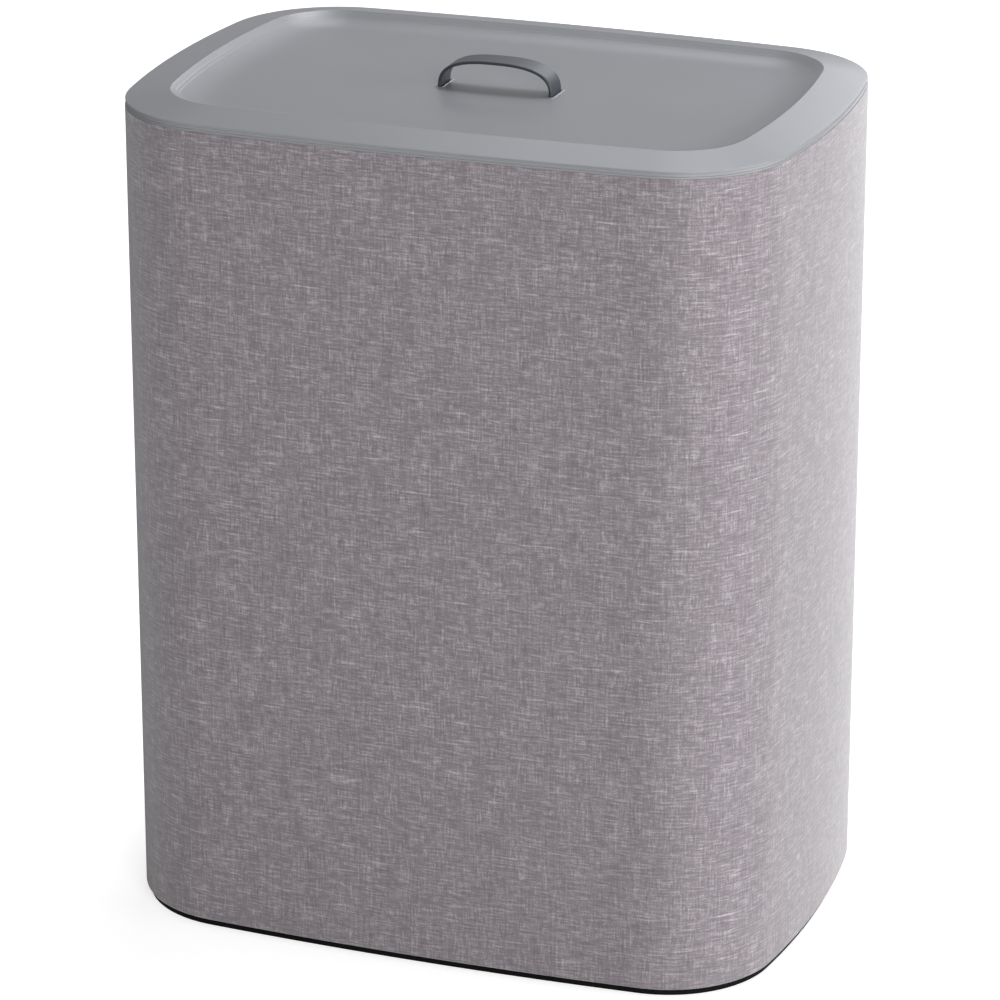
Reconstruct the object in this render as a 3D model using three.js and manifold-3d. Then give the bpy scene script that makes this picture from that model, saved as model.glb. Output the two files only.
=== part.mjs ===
// A laundry hamper: a fabric-covered box with a lift-off lid and two lift-out bins.
// Millimetres, +Z up. The front faces -Y and the origin is on the floor under the middle.
// An inset is a distance inwards from the outline of the covered walls, seen from above.
import * as THREE from 'three';
import { mergeVertices } from 'three/addons/utils/BufferGeometryUtils.js';
import Module from 'manifold-3d';

// Outline of the covered walls: four slightly bulging faces joined by round corners
const bodyWidth = 490;
const bodyDepth = 344;
const longFaceRadius = 2555;
const sideFaceRadius = 717;
const cornerRadius = 82;

// Overall height, from the floor to the top of the lid's outer edge
const bodyHeight = 600;

// Gaps
const seatGap = 0.3; // between pieces that touch
const boreGap = 0.3; // round a pin or a screw in its hole
const cutOverrun = 2; // how far a cutter runs past what it cuts

// Walls, from the outside in
const coverThickness = 1.2;
const boardThickness = 3;
const liningThickness = 0.8;
const seamGap = 1;

// Base tray and feet
const footProud = 0.4;
const footRadius = 12;
const footPocketDepth = 1.2;
const footEdgeDistance = 32;
const trayInset = 2.5;
const trayEdgeSlope = 0.8; // how far its edge leans in, from its top to its foot
const trayEdgeThickness = 4.6;
const trayEdgeRounding = 0.4;
const trayFloorThickness = 3.4;
const trayUpstandThickness = 2.5;
const trayUpstandHeight = 36;

// Rim frame
const rimInset = 0.6;
const rimFlangeThickness = 3.1;
const skirtThickness = 2.2;
const ledgeDepth = 35; // from the rim's top to the ledge that carries the bins
const ledgeWidth = 11;
const ledgeThickness = 2.5;
const skirtBelowLedge = 20;

// Cross bar between the bins, and its screws
const barFlangeThickness = 3.5;
const barWebThickness = 3;
const barPlateThickness = 3;
const barPlateWidth = 36;
const barEndGap = 0.6; // between the bar's ends and the rim frame
const barPlateFoot = 1; // the end plate stops this far above the skirt's lower edge
const barScrewSpacing = 22;
const screwRadius = 2;
const screwHeadRadius = 4;
const screwHeadThickness = 2.4;

// Lid
const lidInset = 0.3;
const lidEdgeThickness = 2.3;
const lidEdgeRounding = 2.2;
const lidThickness = 2.5;
const lidBandRise = 4.8; // from the outer edge to the edge of the recess
const lidBandWidth = 31.5;
const lidRecessDepth = 8.4;
const lidWallWidth = 18.5; // of the recess's sloping wall
const lidRibGap = 0.8; // between the locating rib and the rim frame's skirt
const lidRibThickness = 2.1;
const lidRibDepth = 7.4;

// Lid handle: an arched strap whose legs pass down through slots in the recess
const handleSpan = 84.4;
const handleRise = 21.2;
const handleRoundness = 2.7; // exponent of the arch, 2 is an ellipse
const strapThickness = 2.2;
const strapWidth = 20.5;
const strapLegBelowFloor = 7;
const slotGap = 0.4;
const handlePinRadius = 1.5;
const handlePinLength = 16;

// Bins: mouth frame, sack and base board
const binGap = 3; // between the two mouth frames
const binRimClearance = 1.2; // between a mouth frame and the rim frame's skirt
const binMiddleRadius = 34;
const binRimThickness = 3;
const binRimSkirtThickness = 2.5;
const binRimSkirtDepth = 22;
const sackClearance = 1.2; // between a sack and the ledge that it hangs past
const sackThickness = 1.2;
const sackTaper = 4;
const sackRounding = 8;
const sackFloorClearance = 2.6; // above the base tray's floor
const baseBoardThickness = 3;

// Bails: the carrying handles of a bin, with their pins and grips
const bailSpacing = 18; // between the pivots of a bin's two bails
const bailWidth = 6;
const bailThickness = 5;
const bailGap = 1; // between a bail and the frame's lug
const hubRadius = 6;
const lugThickness = 4;
const lugMargin = 8;
const pinRadius = 2.5;
const pinHeadRadius = 4.5;
const pinHeadThickness = 2;
const pinHeadGap = 0.6;
const gripLength = 96;
const gripWidth = 12;
const gripThickness = 11;

// Facets
const cornerSteps = 7;
const longFaceSteps = 4;
const sideFaceSteps = 4;
const archSteps = 20;
const filletSteps = 4;
const roundSides = 12;
const footSides = 16;
const gripSides = 8;

// Heights that follow
const lidUnderside = bodyHeight - lidEdgeThickness;
const rimTop = lidUnderside - seatGap;
const coverTop = rimTop - rimFlangeThickness - seatGap;
const ledgeTop = rimTop - ledgeDepth;
const ledgeBottom = ledgeTop - ledgeThickness;
const skirtBottom = ledgeBottom - skirtBelowLedge;
const trayEdgeTop = footProud + trayEdgeThickness;
const trayFloorTop = footProud + trayFloorThickness;
const coverBottom = trayEdgeTop + seatGap;
const binRimBottom = ledgeTop + seatGap;
const binRimTop = binRimBottom + binRimThickness;
const bailHeight = binRimTop + seatGap + hubRadius;
const sackBottom = trayFloorTop + sackFloorClearance;
const recessEdgeTop = bodyHeight + lidBandRise;
const recessFloor = recessEdgeTop - lidRecessDepth;

// Insets that follow
const boardInset = coverThickness + seatGap;
const liningInset = boardInset + boardThickness + seatGap;
const innerInset = liningInset + liningThickness + seatGap;
const skirtInner = innerInset + skirtThickness;
const ledgeInner = skirtInner + ledgeWidth;
const binInset = skirtInner + binRimClearance;
const ribOuter = skirtInner + lidRibGap;
const ribInner = ribOuter + lidRibThickness;

// Insets from a bin's own outline
const sackOuter = ledgeInner + sackClearance - binInset;
const binSkirtOuter = sackOuter + sackThickness + seatGap;
const binSkirtInner = binSkirtOuter + binRimSkirtThickness;
const lugOuter = binSkirtInner - lugThickness;
const bailOuter = binSkirtInner + bailGap;
const bailInner = bailOuter + bailWidth;
const barHalfWidth = binGap / 2 + sackOuter - sackClearance;

// Centres of the outline's arcs
const longCentre = longFaceRadius - bodyDepth / 2;
const sideCentre = sideFaceRadius - bodyWidth / 2;
const [cornerX, cornerY] = cornerCentre();
const sideAngle = Math.atan2(cornerY, cornerX + sideCentre);
const cornerAngle = Math.atan2(cornerY + longCentre, cornerX);

// The corner circle touches the back face's circle and the right face's circle from inside
function cornerCentre() {
  const toLong = longFaceRadius - cornerRadius;
  const toSide = sideFaceRadius - cornerRadius;
  const apart = Math.hypot(sideCentre, longCentre);
  const along = (toLong ** 2 - toSide ** 2 + apart ** 2) / (2 * apart);
  const across = Math.sqrt(toLong ** 2 - along ** 2);
  const x = (longCentre * across - sideCentre * along) / apart;
  const y = (longCentre * along + sideCentre * across) / apart - longCentre;
  return [x, y];
}

function arc(x, y, radius, from, to, steps) {
  return { x, y, radius, from, to, steps };
}

function halfTurned(a) {
  return arc(-a.x, -a.y, a.radius, a.from + Math.PI, a.to + Math.PI, a.steps);
}

// The walls' outline, anticlockwise from the right face
const rightFace = arc(-sideCentre, 0, sideFaceRadius, -sideAngle, sideAngle, sideFaceSteps);
const backRight = arc(cornerX, cornerY, cornerRadius, sideAngle, cornerAngle, cornerSteps);
const leftCornerAngle = Math.PI - cornerAngle;
const leftSideAngle = Math.PI - sideAngle;
const backFace = arc(0, -longCentre, longFaceRadius, cornerAngle, leftCornerAngle, longFaceSteps);
const backLeft = arc(-cornerX, cornerY, cornerRadius, leftCornerAngle, leftSideAngle, cornerSteps);
const backHalf = [rightFace, backRight, backFace, backLeft];
const wallArcs = [...backHalf, ...backHalf.map(halfTurned)];
const leftFace = halfTurned(rightFace);
const frontLeft = halfTurned(backRight);
const frontFace = halfTurned(backFace);
const frontRight = halfTurned(backLeft);

// The right bin's outline: the walls' outline inside the rim, closed by a straight middle side
const binMiddleX = binGap / 2 + binMiddleRadius;
const binLongRadius = longFaceRadius - binInset;
const binMiddleY = Math.sqrt((binLongRadius - binMiddleRadius) ** 2 - binMiddleX ** 2) - longCentre;
const middleAngle = Math.atan2(binMiddleY + longCentre, binMiddleX);
const binSide = { ...rightFace, radius: sideFaceRadius - binInset };
const binBackCorner = { ...backRight, radius: cornerRadius - binInset };
const binBack = binLongArc(cornerAngle, middleAngle);
const binBackMiddle = arc(binMiddleX, binMiddleY, binMiddleRadius, middleAngle, Math.PI, filletSteps);
const binStraight = { ...binBackMiddle, from: Math.PI, steps: 1 };
const binFrontMiddle = mirroredToFront(binBackMiddle);
const binFront = mirroredToFront(binBack);
const binFrontCorner = mirroredToFront(binBackCorner);
const binOuterHalf = [binSide, binBackCorner, binBack];
const binInnerHalf = [binBackMiddle, binStraight, binFrontMiddle, binFront, binFrontCorner];
const binArcs = [...binOuterHalf, ...binInnerHalf];

function binLongArc(from, to) {
  return arc(0, -longCentre, binLongRadius, from, to, longFaceSteps);
}

function mirroredToFront(a) {
  return arc(a.x, -a.y, a.radius, 2 * Math.PI - a.to, 2 * Math.PI - a.from, a.steps);
}

function curveOf(a, inset) {
  const radius = a.radius - inset;
  return new THREE.EllipseCurve(a.x, a.y, radius, radius, a.from, a.to);
}

// Neighbouring arcs share a point, so each one leaves out its last
function closedLine(arcs, inset) {
  return arcs.flatMap((a) => curveOf(a, inset).getPoints(a.steps).slice(0, -1));
}

function openLine(arcs, inset) {
  return [...closedLine(arcs, inset), curveOf(arcs.at(-1), inset).getPoint(1)];
}

// Upright solids from a flat outline
function prism(outline, holes, bottom, top) {
  const shape = new THREE.Shape(outline);
  shape.holes = holes.map((hole) => new THREE.Path(hole));
  const geometry = new THREE.ExtrudeGeometry(shape, { depth: top - bottom, bevelEnabled: false });
  return geometry.translate(0, 0, bottom);
}

function ringWall(arcs, outer, inner, bottom, top) {
  return prism(closedLine(arcs, outer), [closedLine(arcs, inner)], bottom, top);
}

function stripWall(arcs, outer, inner, bottom, top) {
  const outline = [...openLine(arcs, outer), ...openLine(arcs, inner).reverse()];
  return prism(outline, [], bottom, top);
}

function plate(arcs, inset, bottom, top) {
  return prism(closedLine(arcs, inset), [], bottom, top);
}

// Solids with a profile: rows of [inset, height] from the inner top edge outwards, down and back
function indexed(points, faces) {
  const geometry = new THREE.BufferGeometry();
  geometry.setAttribute('position', new THREE.Float32BufferAttribute(points, 3));
  geometry.setIndex(faces);
  geometry.computeVertexNormals();
  return geometry;
}

function profileSkin(lines, rows, rowCount, lineCount) {
  const points = rows.flatMap(([, z], row) => lines[row].flatMap((p) => [p.x, p.y, z]));
  const width = lines[0].length;
  const at = (row, i) => (row % rows.length) * width + (i % width);
  const faces = [];
  for (let row = 0; row < rowCount; row++) {
    for (let i = 0; i < lineCount; i++) {
      faces.push(at(row, i), at(row + 1, i), at(row + 1, i + 1));
      faces.push(at(row, i), at(row + 1, i + 1), at(row, i + 1));
    }
  }
  return { points, faces };
}

// A ring whose profile closes on itself
function profiledRing(arcs, rows) {
  const lines = rows.map(([inset]) => closedLine(arcs, inset));
  const { points, faces } = profileSkin(lines, rows, rows.length, lines[0].length);
  return indexed(points, faces);
}

// A dish or a pan: the first row bounds a flat top and the last row a flat bottom
function profiledPan(arcs, rows) {
  const lines = rows.map(([inset]) => closedLine(arcs, inset));
  const { points, faces } = profileSkin(lines, rows, rows.length - 1, lines[0].length);
  const lastRow = (rows.length - 1) * lines[0].length;
  for (const [a, b, c] of THREE.ShapeUtils.triangulateShape(lines[0], [])) {
    faces.push(a, b, c);
  }
  for (const [a, b, c] of THREE.ShapeUtils.triangulateShape(lines.at(-1), [])) {
    faces.push(lastRow + a, lastRow + c, lastRow + b);
  }
  return indexed(points, faces);
}

// A bar along part of an outline, with flat ends
function profiledBar(arcs, rows) {
  const lines = rows.map(([inset]) => openLine(arcs, inset));
  const width = lines[0].length;
  const { points, faces } = profileSkin(lines, rows, rows.length, width - 1);
  for (let row = 1; row < rows.length - 1; row++) {
    faces.push(0, (row + 1) * width, row * width);
    faces.push(width - 1, row * width + width - 1, (row + 1) * width + width - 1);
  }
  return indexed(points, faces);
}

// Rows along a quarter of an ellipse. At 0 degrees the row is beside the centre, at 90 below it
function ellipseRows(inset, z, across, down, degrees) {
  return degrees.map((d) => {
    const angle = THREE.MathUtils.degToRad(d);
    return [inset - across * Math.cos(angle), z - down * Math.sin(angle)];
  });
}

// Round bars along each axis
function roundBar(radius, length, sides, x, y, z) {
  const bar = new THREE.CylinderGeometry(radius, radius, length, sides);
  return bar.rotateX(Math.PI / 2).translate(x, y, z);
}

function roundBarAlongX(radius, length, x, y, z) {
  const bar = new THREE.CylinderGeometry(radius, radius, length, roundSides);
  return bar.rotateZ(Math.PI / 2).translate(x, y, z);
}

function roundBarAlongY(radius, low, high, x, z) {
  const bar = new THREE.CylinderGeometry(radius, radius, high - low, roundSides);
  return bar.translate(x, (low + high) / 2, z);
}

function block(x0, x1, y0, y1, z0, z1) {
  const box = new THREE.BoxGeometry(x1 - x0, y1 - y0, z1 - z0);
  return box.translate((x0 + x1) / 2, (y0 + y1) / 2, (z0 + z1) / 2);
}

// Joining and cutting
const wasm = await Module();
wasm.setup();

function solid(geometry) {
  const bare = geometry.clone();
  bare.deleteAttribute('normal');
  bare.deleteAttribute('uv');
  const merged = mergeVertices(bare);
  const vertProperties = new Float32Array(merged.attributes.position.array);
  const triVerts = new Uint32Array(merged.index.array);
  return new wasm.Manifold(new wasm.Mesh({ numProp: 3, vertProperties, triVerts }));
}

function shaped(geometry, added, removed) {
  let body = solid(geometry);
  for (const extra of added) {
    body = body.add(solid(extra));
  }
  for (const cutter of removed) {
    body = body.subtract(solid(cutter));
  }
  const mesh = body.getMesh();
  return indexed([...mesh.vertProperties], [...mesh.triVerts]);
}

// Finishes
function finish(color, roughness, metalness = 0) {
  return new THREE.MeshStandardMaterial({ color, roughness, metalness });
}

const coverFabric = finish(0x9c9698, 0.95);
const greyPlastic = finish(0x9a9da1, 0.5);
const darkPlastic = finish(0x17181a, 0.6);
const strapRubber = finish(0x4a5057, 0.45);
const softRubber = finish(0x202124, 0.9);
const stiffBoard = finish(0x8a8378, 0.9);
const liningFabric = finish(0x6d6b6e, 0.95);
const sackFabric = finish(0xa7a5a6, 0.95);
const screwSteel = finish(0xb5b7ba, 0.3, 1);

const hamper = new THREE.Group();

function piece(parent, name, geometry, material) {
  const mesh = new THREE.Mesh(geometry, material);
  mesh.name = name;
  parent.add(mesh);
}

// Walls: the cover outside, four boards butted at the corners, the lining inside
function trimmed(a, inset) {
  const angle = seamGap / (a.radius - inset);
  return { ...a, from: a.from + angle, to: a.to - angle };
}

function addWalls() {
  const boards = {
    front_board: [trimmed(frontFace, boardInset)],
    back_board: [trimmed(backFace, boardInset)],
    left_board: [backLeft, leftFace, frontLeft],
    right_board: [frontRight, rightFace, backRight],
  };
  const cover = ringWall(wallArcs, 0, coverThickness, coverBottom, coverTop);
  piece(hamper, 'outer_cover', cover, coverFabric);
  for (const [name, arcs] of Object.entries(boards)) {
    const board = stripWall(arcs, boardInset, boardInset + boardThickness, coverBottom, coverTop);
    piece(hamper, name, board, stiffBoard);
  }
  const lining = ringWall(wallArcs, liningInset, liningInset + liningThickness, coverBottom, coverTop);
  piece(hamper, 'wall_lining', lining, liningFabric);
}

// Base tray: a flange under the walls, an upstand inside them, and a pocket for each foot
function footPlaces() {
  const reach = (cornerRadius - footEdgeDistance) * Math.SQRT1_2;
  const x = cornerX + reach;
  const y = cornerY + reach;
  return [[-x, -y], [x, -y], [x, y], [-x, y]];
}

function addBase() {
  const upstandTop = trayEdgeTop + trayUpstandHeight;
  const upstandInner = innerInset + trayUpstandThickness;
  const rows = [
    [upstandInner, trayFloorTop],
    [upstandInner, upstandTop],
    [innerInset, upstandTop],
    [innerInset, trayEdgeTop],
    [trayInset, trayEdgeTop],
    [trayInset + trayEdgeSlope, footProud + trayEdgeRounding],
    [trayInset + trayEdgeSlope + trayEdgeRounding, footProud],
  ];
  const pocketTop = footProud + footPocketDepth;
  const pockets = footPlaces().map(([x, y]) => {
    const length = pocketTop + cutOverrun;
    return roundBar(footRadius + seatGap, length, footSides, x, y, pocketTop - length / 2);
  });
  piece(hamper, 'base_tray', shaped(profiledPan(wallArcs, rows), [], pockets), darkPlastic);
  footPlaces().forEach(([x, y], i) => {
    const height = pocketTop - seatGap;
    piece(hamper, `foot_${i + 1}`, roundBar(footRadius, height, footSides, x, y, height / 2), softRubber);
  });
}

// Rim frame: a flange over the walls, a skirt inside them and a ledge for the bins
const screwHeight = ledgeBottom - skirtBelowLedge / 2;
const plateOuter = bodyDepth / 2 - skirtInner - barEndGap;
const plateInner = plateOuter - barPlateThickness;

function screwPlaces() {
  const x = barScrewSpacing / 2;
  return [[-x, -1], [x, -1], [x, 1], [-x, 1]];
}

function screwHoles() {
  return screwPlaces().map(([x, side]) => {
    const near = side * (plateInner - cutOverrun);
    const far = side * (bodyDepth / 2 - innerInset + cutOverrun);
    return roundBarAlongY(screwRadius + boreGap, Math.min(near, far), Math.max(near, far), x, screwHeight);
  });
}

function addRimFrame() {
  const rows = [
    [skirtInner, rimTop],
    [rimInset, rimTop],
    [rimInset, rimTop - rimFlangeThickness],
    [innerInset, rimTop - rimFlangeThickness],
    [innerInset, skirtBottom],
    [skirtInner, skirtBottom],
    [skirtInner, ledgeBottom],
    [ledgeInner, ledgeBottom],
    [ledgeInner, ledgeTop],
    [skirtInner, ledgeTop],
  ];
  piece(hamper, 'rim_frame', shaped(profiledRing(wallArcs, rows), [], screwHoles()), greyPlastic);
}

// Cross bar: its flange carries the bins' inner sides, its end plates are screwed to the skirt
function addCrossBar() {
  const flangeReach = bodyDepth / 2 - ledgeInner - barEndGap;
  const flangeBottom = ledgeTop - barFlangeThickness;
  const webTop = ledgeBottom - seatGap;
  const foot = skirtBottom + barPlateFoot;
  const halfWeb = barWebThickness / 2;
  const halfPlate = barPlateWidth / 2;
  const flange = block(-barHalfWidth, barHalfWidth, -flangeReach, flangeReach, flangeBottom, ledgeTop);
  const web = block(-halfWeb, halfWeb, -plateOuter, plateOuter, foot, webTop);
  const frontPlate = block(-halfPlate, halfPlate, -plateOuter, -plateInner, foot, webTop);
  const backPlate = block(-halfPlate, halfPlate, plateInner, plateOuter, foot, webTop);
  piece(hamper, 'cross_bar', shaped(flange, [web, frontPlate, backPlate], screwHoles()), greyPlastic);
  screwPlaces().forEach(([x, side], i) => {
    const seat = plateInner - seatGap;
    const tip = bodyDepth / 2 - innerInset - seatGap;
    const inHead = screwHeadThickness / 2;
    const head = roundBarAlongY(screwHeadRadius, -screwHeadThickness, 0, 0, 0);
    const shank = roundBarAlongY(screwRadius, -inHead, tip - seat, 0, 0);
    const screw = shaped(head, [shank], []).rotateZ(side > 0 ? 0 : Math.PI);
    piece(hamper, `cross_bar_screw_${i + 1}`, screw.translate(x, side * seat, screwHeight), screwSteel);
  });
}

// Lid: a raised band round a shallow recess, with a rib that locates it in the rim frame
const handleHalf = handleSpan / 2;
const slotCentre = handleHalf - strapThickness / 2;
const handlePinHeight = recessFloor - lidThickness - seatGap - handlePinRadius;

// Down the wall of the recess: shares of its width and depth, from its edge to its floor
const wallSlopeShares = [[0, 0], [0.23, 0.33], [0.37, 0.6], [0.51, 0.79], [0.73, 0.94], [1, 1]];

function recessWall(edgeInset, edgeHeight, width) {
  return wallSlopeShares.map(([across, down]) => {
    return [edgeInset + width * across, edgeHeight - lidRecessDepth * down];
  });
}

function lidRows() {
  const edgeInset = lidInset + lidEdgeRounding;
  const edgeHeight = bodyHeight - lidEdgeRounding;
  const underTop = recessEdgeTop - lidThickness;
  const upper = recessWall(lidBandWidth, recessEdgeTop, lidWallWidth);
  const under = recessWall(lidBandWidth - lidThickness, underTop, lidWallWidth + lidThickness);
  const edge = ellipseRows(edgeInset, edgeHeight, lidEdgeRounding, -lidEdgeRounding, [90, 45, 0]);
  const bandRiseShare = ribInner / lidBandWidth;
  return [
    ...upper.reverse(),
    ...edge,
    [lidInset, lidUnderside],
    [ribOuter, lidUnderside],
    [ribOuter, lidUnderside - lidRibDepth],
    [ribInner, lidUnderside - lidRibDepth],
    [ribInner, bodyHeight + lidBandRise * bandRiseShare - lidThickness],
    ...under,
  ];
}

function addLid() {
  const halfSlot = strapThickness / 2 + slotGap;
  const halfStrap = strapWidth / 2;
  const slots = [-slotCentre, slotCentre].map((x) => {
    const y = halfStrap + slotGap;
    return block(x - halfSlot, x + halfSlot, -y, y, lidUnderside - lidRecessDepth, recessEdgeTop);
  });
  piece(hamper, 'lid_shell', shaped(profiledPan(wallArcs, lidRows()), [], slots), greyPlastic);
  const legFoot = recessFloor - strapLegBelowFloor;
  const outer = archPoints(handleHalf, handleRise);
  const inner = archPoints(handleHalf - strapThickness, handleRise - strapThickness).reverse();
  const outerFeet = [new THREE.Vector2(-handleHalf, legFoot), new THREE.Vector2(handleHalf, legFoot)];
  const innerX = handleHalf - strapThickness;
  const innerFeet = [new THREE.Vector2(-innerX, legFoot), new THREE.Vector2(innerX, legFoot)];
  const outline = [outerFeet[1], ...outer, outerFeet[0], innerFeet[0], ...inner, innerFeet[1]];
  const strap = prism(outline, [], -halfStrap, halfStrap).rotateX(Math.PI / 2);
  const pinHoles = [-slotCentre, slotCentre].map((x) => handlePin(x, handlePinRadius + boreGap));
  piece(hamper, 'lid_handle', shaped(strap, [], pinHoles), strapRubber);
  piece(hamper, 'handle_pin_left', handlePin(-slotCentre, handlePinRadius), screwSteel);
  piece(hamper, 'handle_pin_right', handlePin(slotCentre, handlePinRadius), screwSteel);
}

function handlePin(x, radius) {
  return roundBarAlongX(radius, handlePinLength, x, 0, handlePinHeight);
}

// The arch from its right foot over the top to its left foot, standing on the recess's floor
function archPoints(halfWidth, rise) {
  const points = [];
  for (let i = 0; i <= archSteps; i++) {
    const angle = (Math.PI * i) / archSteps;
    const across = Math.abs(Math.cos(angle)) ** (2 / handleRoundness) * Math.sign(Math.cos(angle));
    const up = Math.max(Math.sin(angle), 0) ** (2 / handleRoundness);
    points.push(new THREE.Vector2(halfWidth * across, recessFloor + rise * up));
  }
  return points;
}

// Bins. Both are built as the right one, and the left one is turned half round
const binCentreX = (binGap / 2 + bodyWidth / 2 - binInset) / 2;
const outerPivotX = binCentreX + bailSpacing / 2;
const innerPivotX = binCentreX - bailSpacing / 2;

// Where a bin's back face lies at a place across it
function binBackY(x, inset) {
  return Math.sqrt((binLongRadius - inset) ** 2 - x ** 2) - longCentre;
}

function binBackAngle(x, inset) {
  return Math.acos(x / (binLongRadius - inset));
}

function pinHoles(x, inner, outer) {
  return [-1, 1].map((side) => {
    const near = side * (binBackY(x, inner) - cutOverrun);
    const far = side * (binBackY(x, outer) + cutOverrun);
    return roundBarAlongY(pinRadius + boreGap, Math.min(near, far), Math.max(near, far), x, bailHeight);
  });
}

function binRim() {
  const skirtFoot = binRimBottom - binRimSkirtDepth;
  const rows = [
    [binSkirtInner, binRimTop],
    [0, binRimTop],
    [0, binRimBottom],
    [binSkirtOuter, binRimBottom],
    [binSkirtOuter, skirtFoot],
    [binSkirtInner, skirtFoot],
  ];
  const lugReach = bailSpacing / 2 + lugMargin;
  const from = binBackAngle(binCentreX + lugReach, lugOuter);
  const to = binBackAngle(binCentreX - lugReach, lugOuter);
  const lug = binLongArc(from, to);
  const lugTop = bailHeight + hubRadius;
  const lugs = [lug, mirroredToFront(lug)].map((a) => {
    return stripWall([a], lugOuter, binSkirtInner, binRimBottom, lugTop);
  });
  const holes = [outerPivotX, innerPivotX].flatMap((x) => pinHoles(x, binSkirtInner, lugOuter));
  return shaped(profiledRing(binArcs, rows), lugs, holes);
}

function binSack() {
  const bottomInset = sackOuter + sackTaper;
  const turn = bottomInset + sackRounding;
  const turnHeight = sackBottom + sackRounding;
  const bend = [0, 30, 60, 90];
  const innerRounding = sackRounding - sackThickness;
  const inner = ellipseRows(turn, turnHeight, innerRounding, innerRounding, bend).reverse();
  const outer = ellipseRows(turn, turnHeight, sackRounding, sackRounding, bend);
  const top = [[sackOuter + sackThickness, ledgeTop], [sackOuter, ledgeTop]];
  return profiledPan(binArcs, [...inner, ...top, ...outer]);
}

function binBaseBoard() {
  const inset = sackOuter + sackTaper + sackRounding + seatGap;
  const bottom = sackBottom + sackThickness + seatGap;
  return plate(binArcs, inset, bottom, bottom + baseBoardThickness);
}

// Each bail follows its bin's outline from one pivot round to the other
function bail(x, arcs) {
  const low = bailHeight - bailThickness / 2;
  const high = bailHeight + bailThickness / 2;
  const hubs = [-1, 1].map((side) => {
    const near = side * binBackY(x, bailInner);
    const far = side * binBackY(x, bailOuter);
    return roundBarAlongY(hubRadius, Math.min(near, far), Math.max(near, far), x, bailHeight);
  });
  return shaped(stripWall(arcs, bailOuter, bailInner, low, high), hubs, pinHoles(x, bailInner, bailOuter));
}

function outerBailArcs() {
  const back = binLongArc(cornerAngle, binBackAngle(outerPivotX, bailOuter));
  return [mirroredToFront(back), binFrontCorner, turnedOn(binSide), binBackCorner, back];
}

function innerBailArcs() {
  const back = binLongArc(binBackAngle(innerPivotX, bailOuter), middleAngle);
  return [back, binBackMiddle, binStraight, binFrontMiddle, mirroredToFront(back)];
}

function turnedOn(a) {
  return { ...a, from: a.from + 2 * Math.PI, to: a.to + 2 * Math.PI };
}

// A grip is a soft sleeve round the middle of its bail's cross piece, with an oval section
function gripSection(middle) {
  return Array.from({ length: gripSides }, (_, i) => {
    const angle = (2 * Math.PI * i) / gripSides;
    return [middle + (gripWidth / 2) * Math.cos(angle), bailHeight + (gripThickness / 2) * Math.sin(angle)];
  });
}

function outerGrip() {
  const half = gripLength / 2 / binSide.radius;
  const section = gripSection((bailOuter + bailInner) / 2);
  const sleeve = profiledBar([{ ...binSide, from: -half, to: half }], section);
  const halfZ = bailThickness / 2 + seatGap;
  const [outer, inner] = [bailOuter - seatGap, bailInner + seatGap];
  return shaped(sleeve, [], [stripWall([binSide], outer, inner, bailHeight - halfZ, bailHeight + halfZ)]);
}

// The middle side is straight, so its grip is a bar turned to run along it
function innerGrip() {
  const half = gripLength / 2;
  const middle = binGap / 2 + (bailOuter + bailInner) / 2;
  const outline = gripSection(middle).map(([x, z]) => new THREE.Vector2(x, z));
  const bar = prism(outline, [], -half, half).rotateX(Math.PI / 2);
  const halfX = bailWidth / 2 + seatGap;
  const halfZ = bailThickness / 2 + seatGap;
  const reach = half + cutOverrun;
  const [low, high] = [bailHeight - halfZ, bailHeight + halfZ];
  const channel = block(middle - halfX, middle + halfX, -reach, reach, low, high);
  return shaped(bar, [], [channel]);
}

// A pin's head lies outside the lug, and its shank passes through the lug and the bail's hub
function bailPin(x, side) {
  const seat = binBackY(x, lugOuter) + pinHeadGap;
  const length = seat - binBackY(x, bailInner);
  const head = roundBarAlongY(pinHeadRadius, 0, pinHeadThickness, 0, 0);
  const shank = roundBarAlongY(pinRadius, -length, pinHeadThickness / 2, 0, 0);
  const pin = shaped(head, [shank], []).rotateZ(side > 0 ? 0 : Math.PI);
  return pin.translate(x, side * seat, bailHeight);
}

function addBin(name, turn) {
  const bin = new THREE.Group();
  bin.rotation.z = turn;
  hamper.add(bin);
  piece(bin, `${name}_bin_rim`, binRim(), greyPlastic);
  piece(bin, `${name}_bin_sack`, binSack(), sackFabric);
  piece(bin, `${name}_bin_base_board`, binBaseBoard(), stiffBoard);
  piece(bin, `${name}_outer_bail`, bail(outerPivotX, outerBailArcs()), darkPlastic);
  piece(bin, `${name}_inner_bail`, bail(innerPivotX, innerBailArcs()), darkPlastic);
  piece(bin, `${name}_outer_grip`, outerGrip(), strapRubber);
  piece(bin, `${name}_inner_grip`, innerGrip(), strapRubber);
  const front = turn === 0 ? -1 : 1;
  for (const [bailName, x] of [['outer', outerPivotX], ['inner', innerPivotX]]) {
    piece(bin, `${name}_${bailName}_pin_front`, bailPin(x, front), screwSteel);
    piece(bin, `${name}_${bailName}_pin_back`, bailPin(x, -front), screwSteel);
  }
}

addWalls();
addBase();
addRimFrame();
addCrossBar();
addLid();
addBin('right', 0);
addBin('left', Math.PI);

export default hamper;
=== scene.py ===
"""Laundry hamper: a fabric-covered box with a lift-off lid and two lift-out fabric bins.

Sizes are in millimetres until a mesh is made. An inset is a distance inwards from the outline
of the covered walls, seen from above, and a bin's pieces have insets from the bin's own outline.
"""
import math

import bmesh
import bpy
import numpy as np
from mathutils import Matrix, Vector


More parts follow.
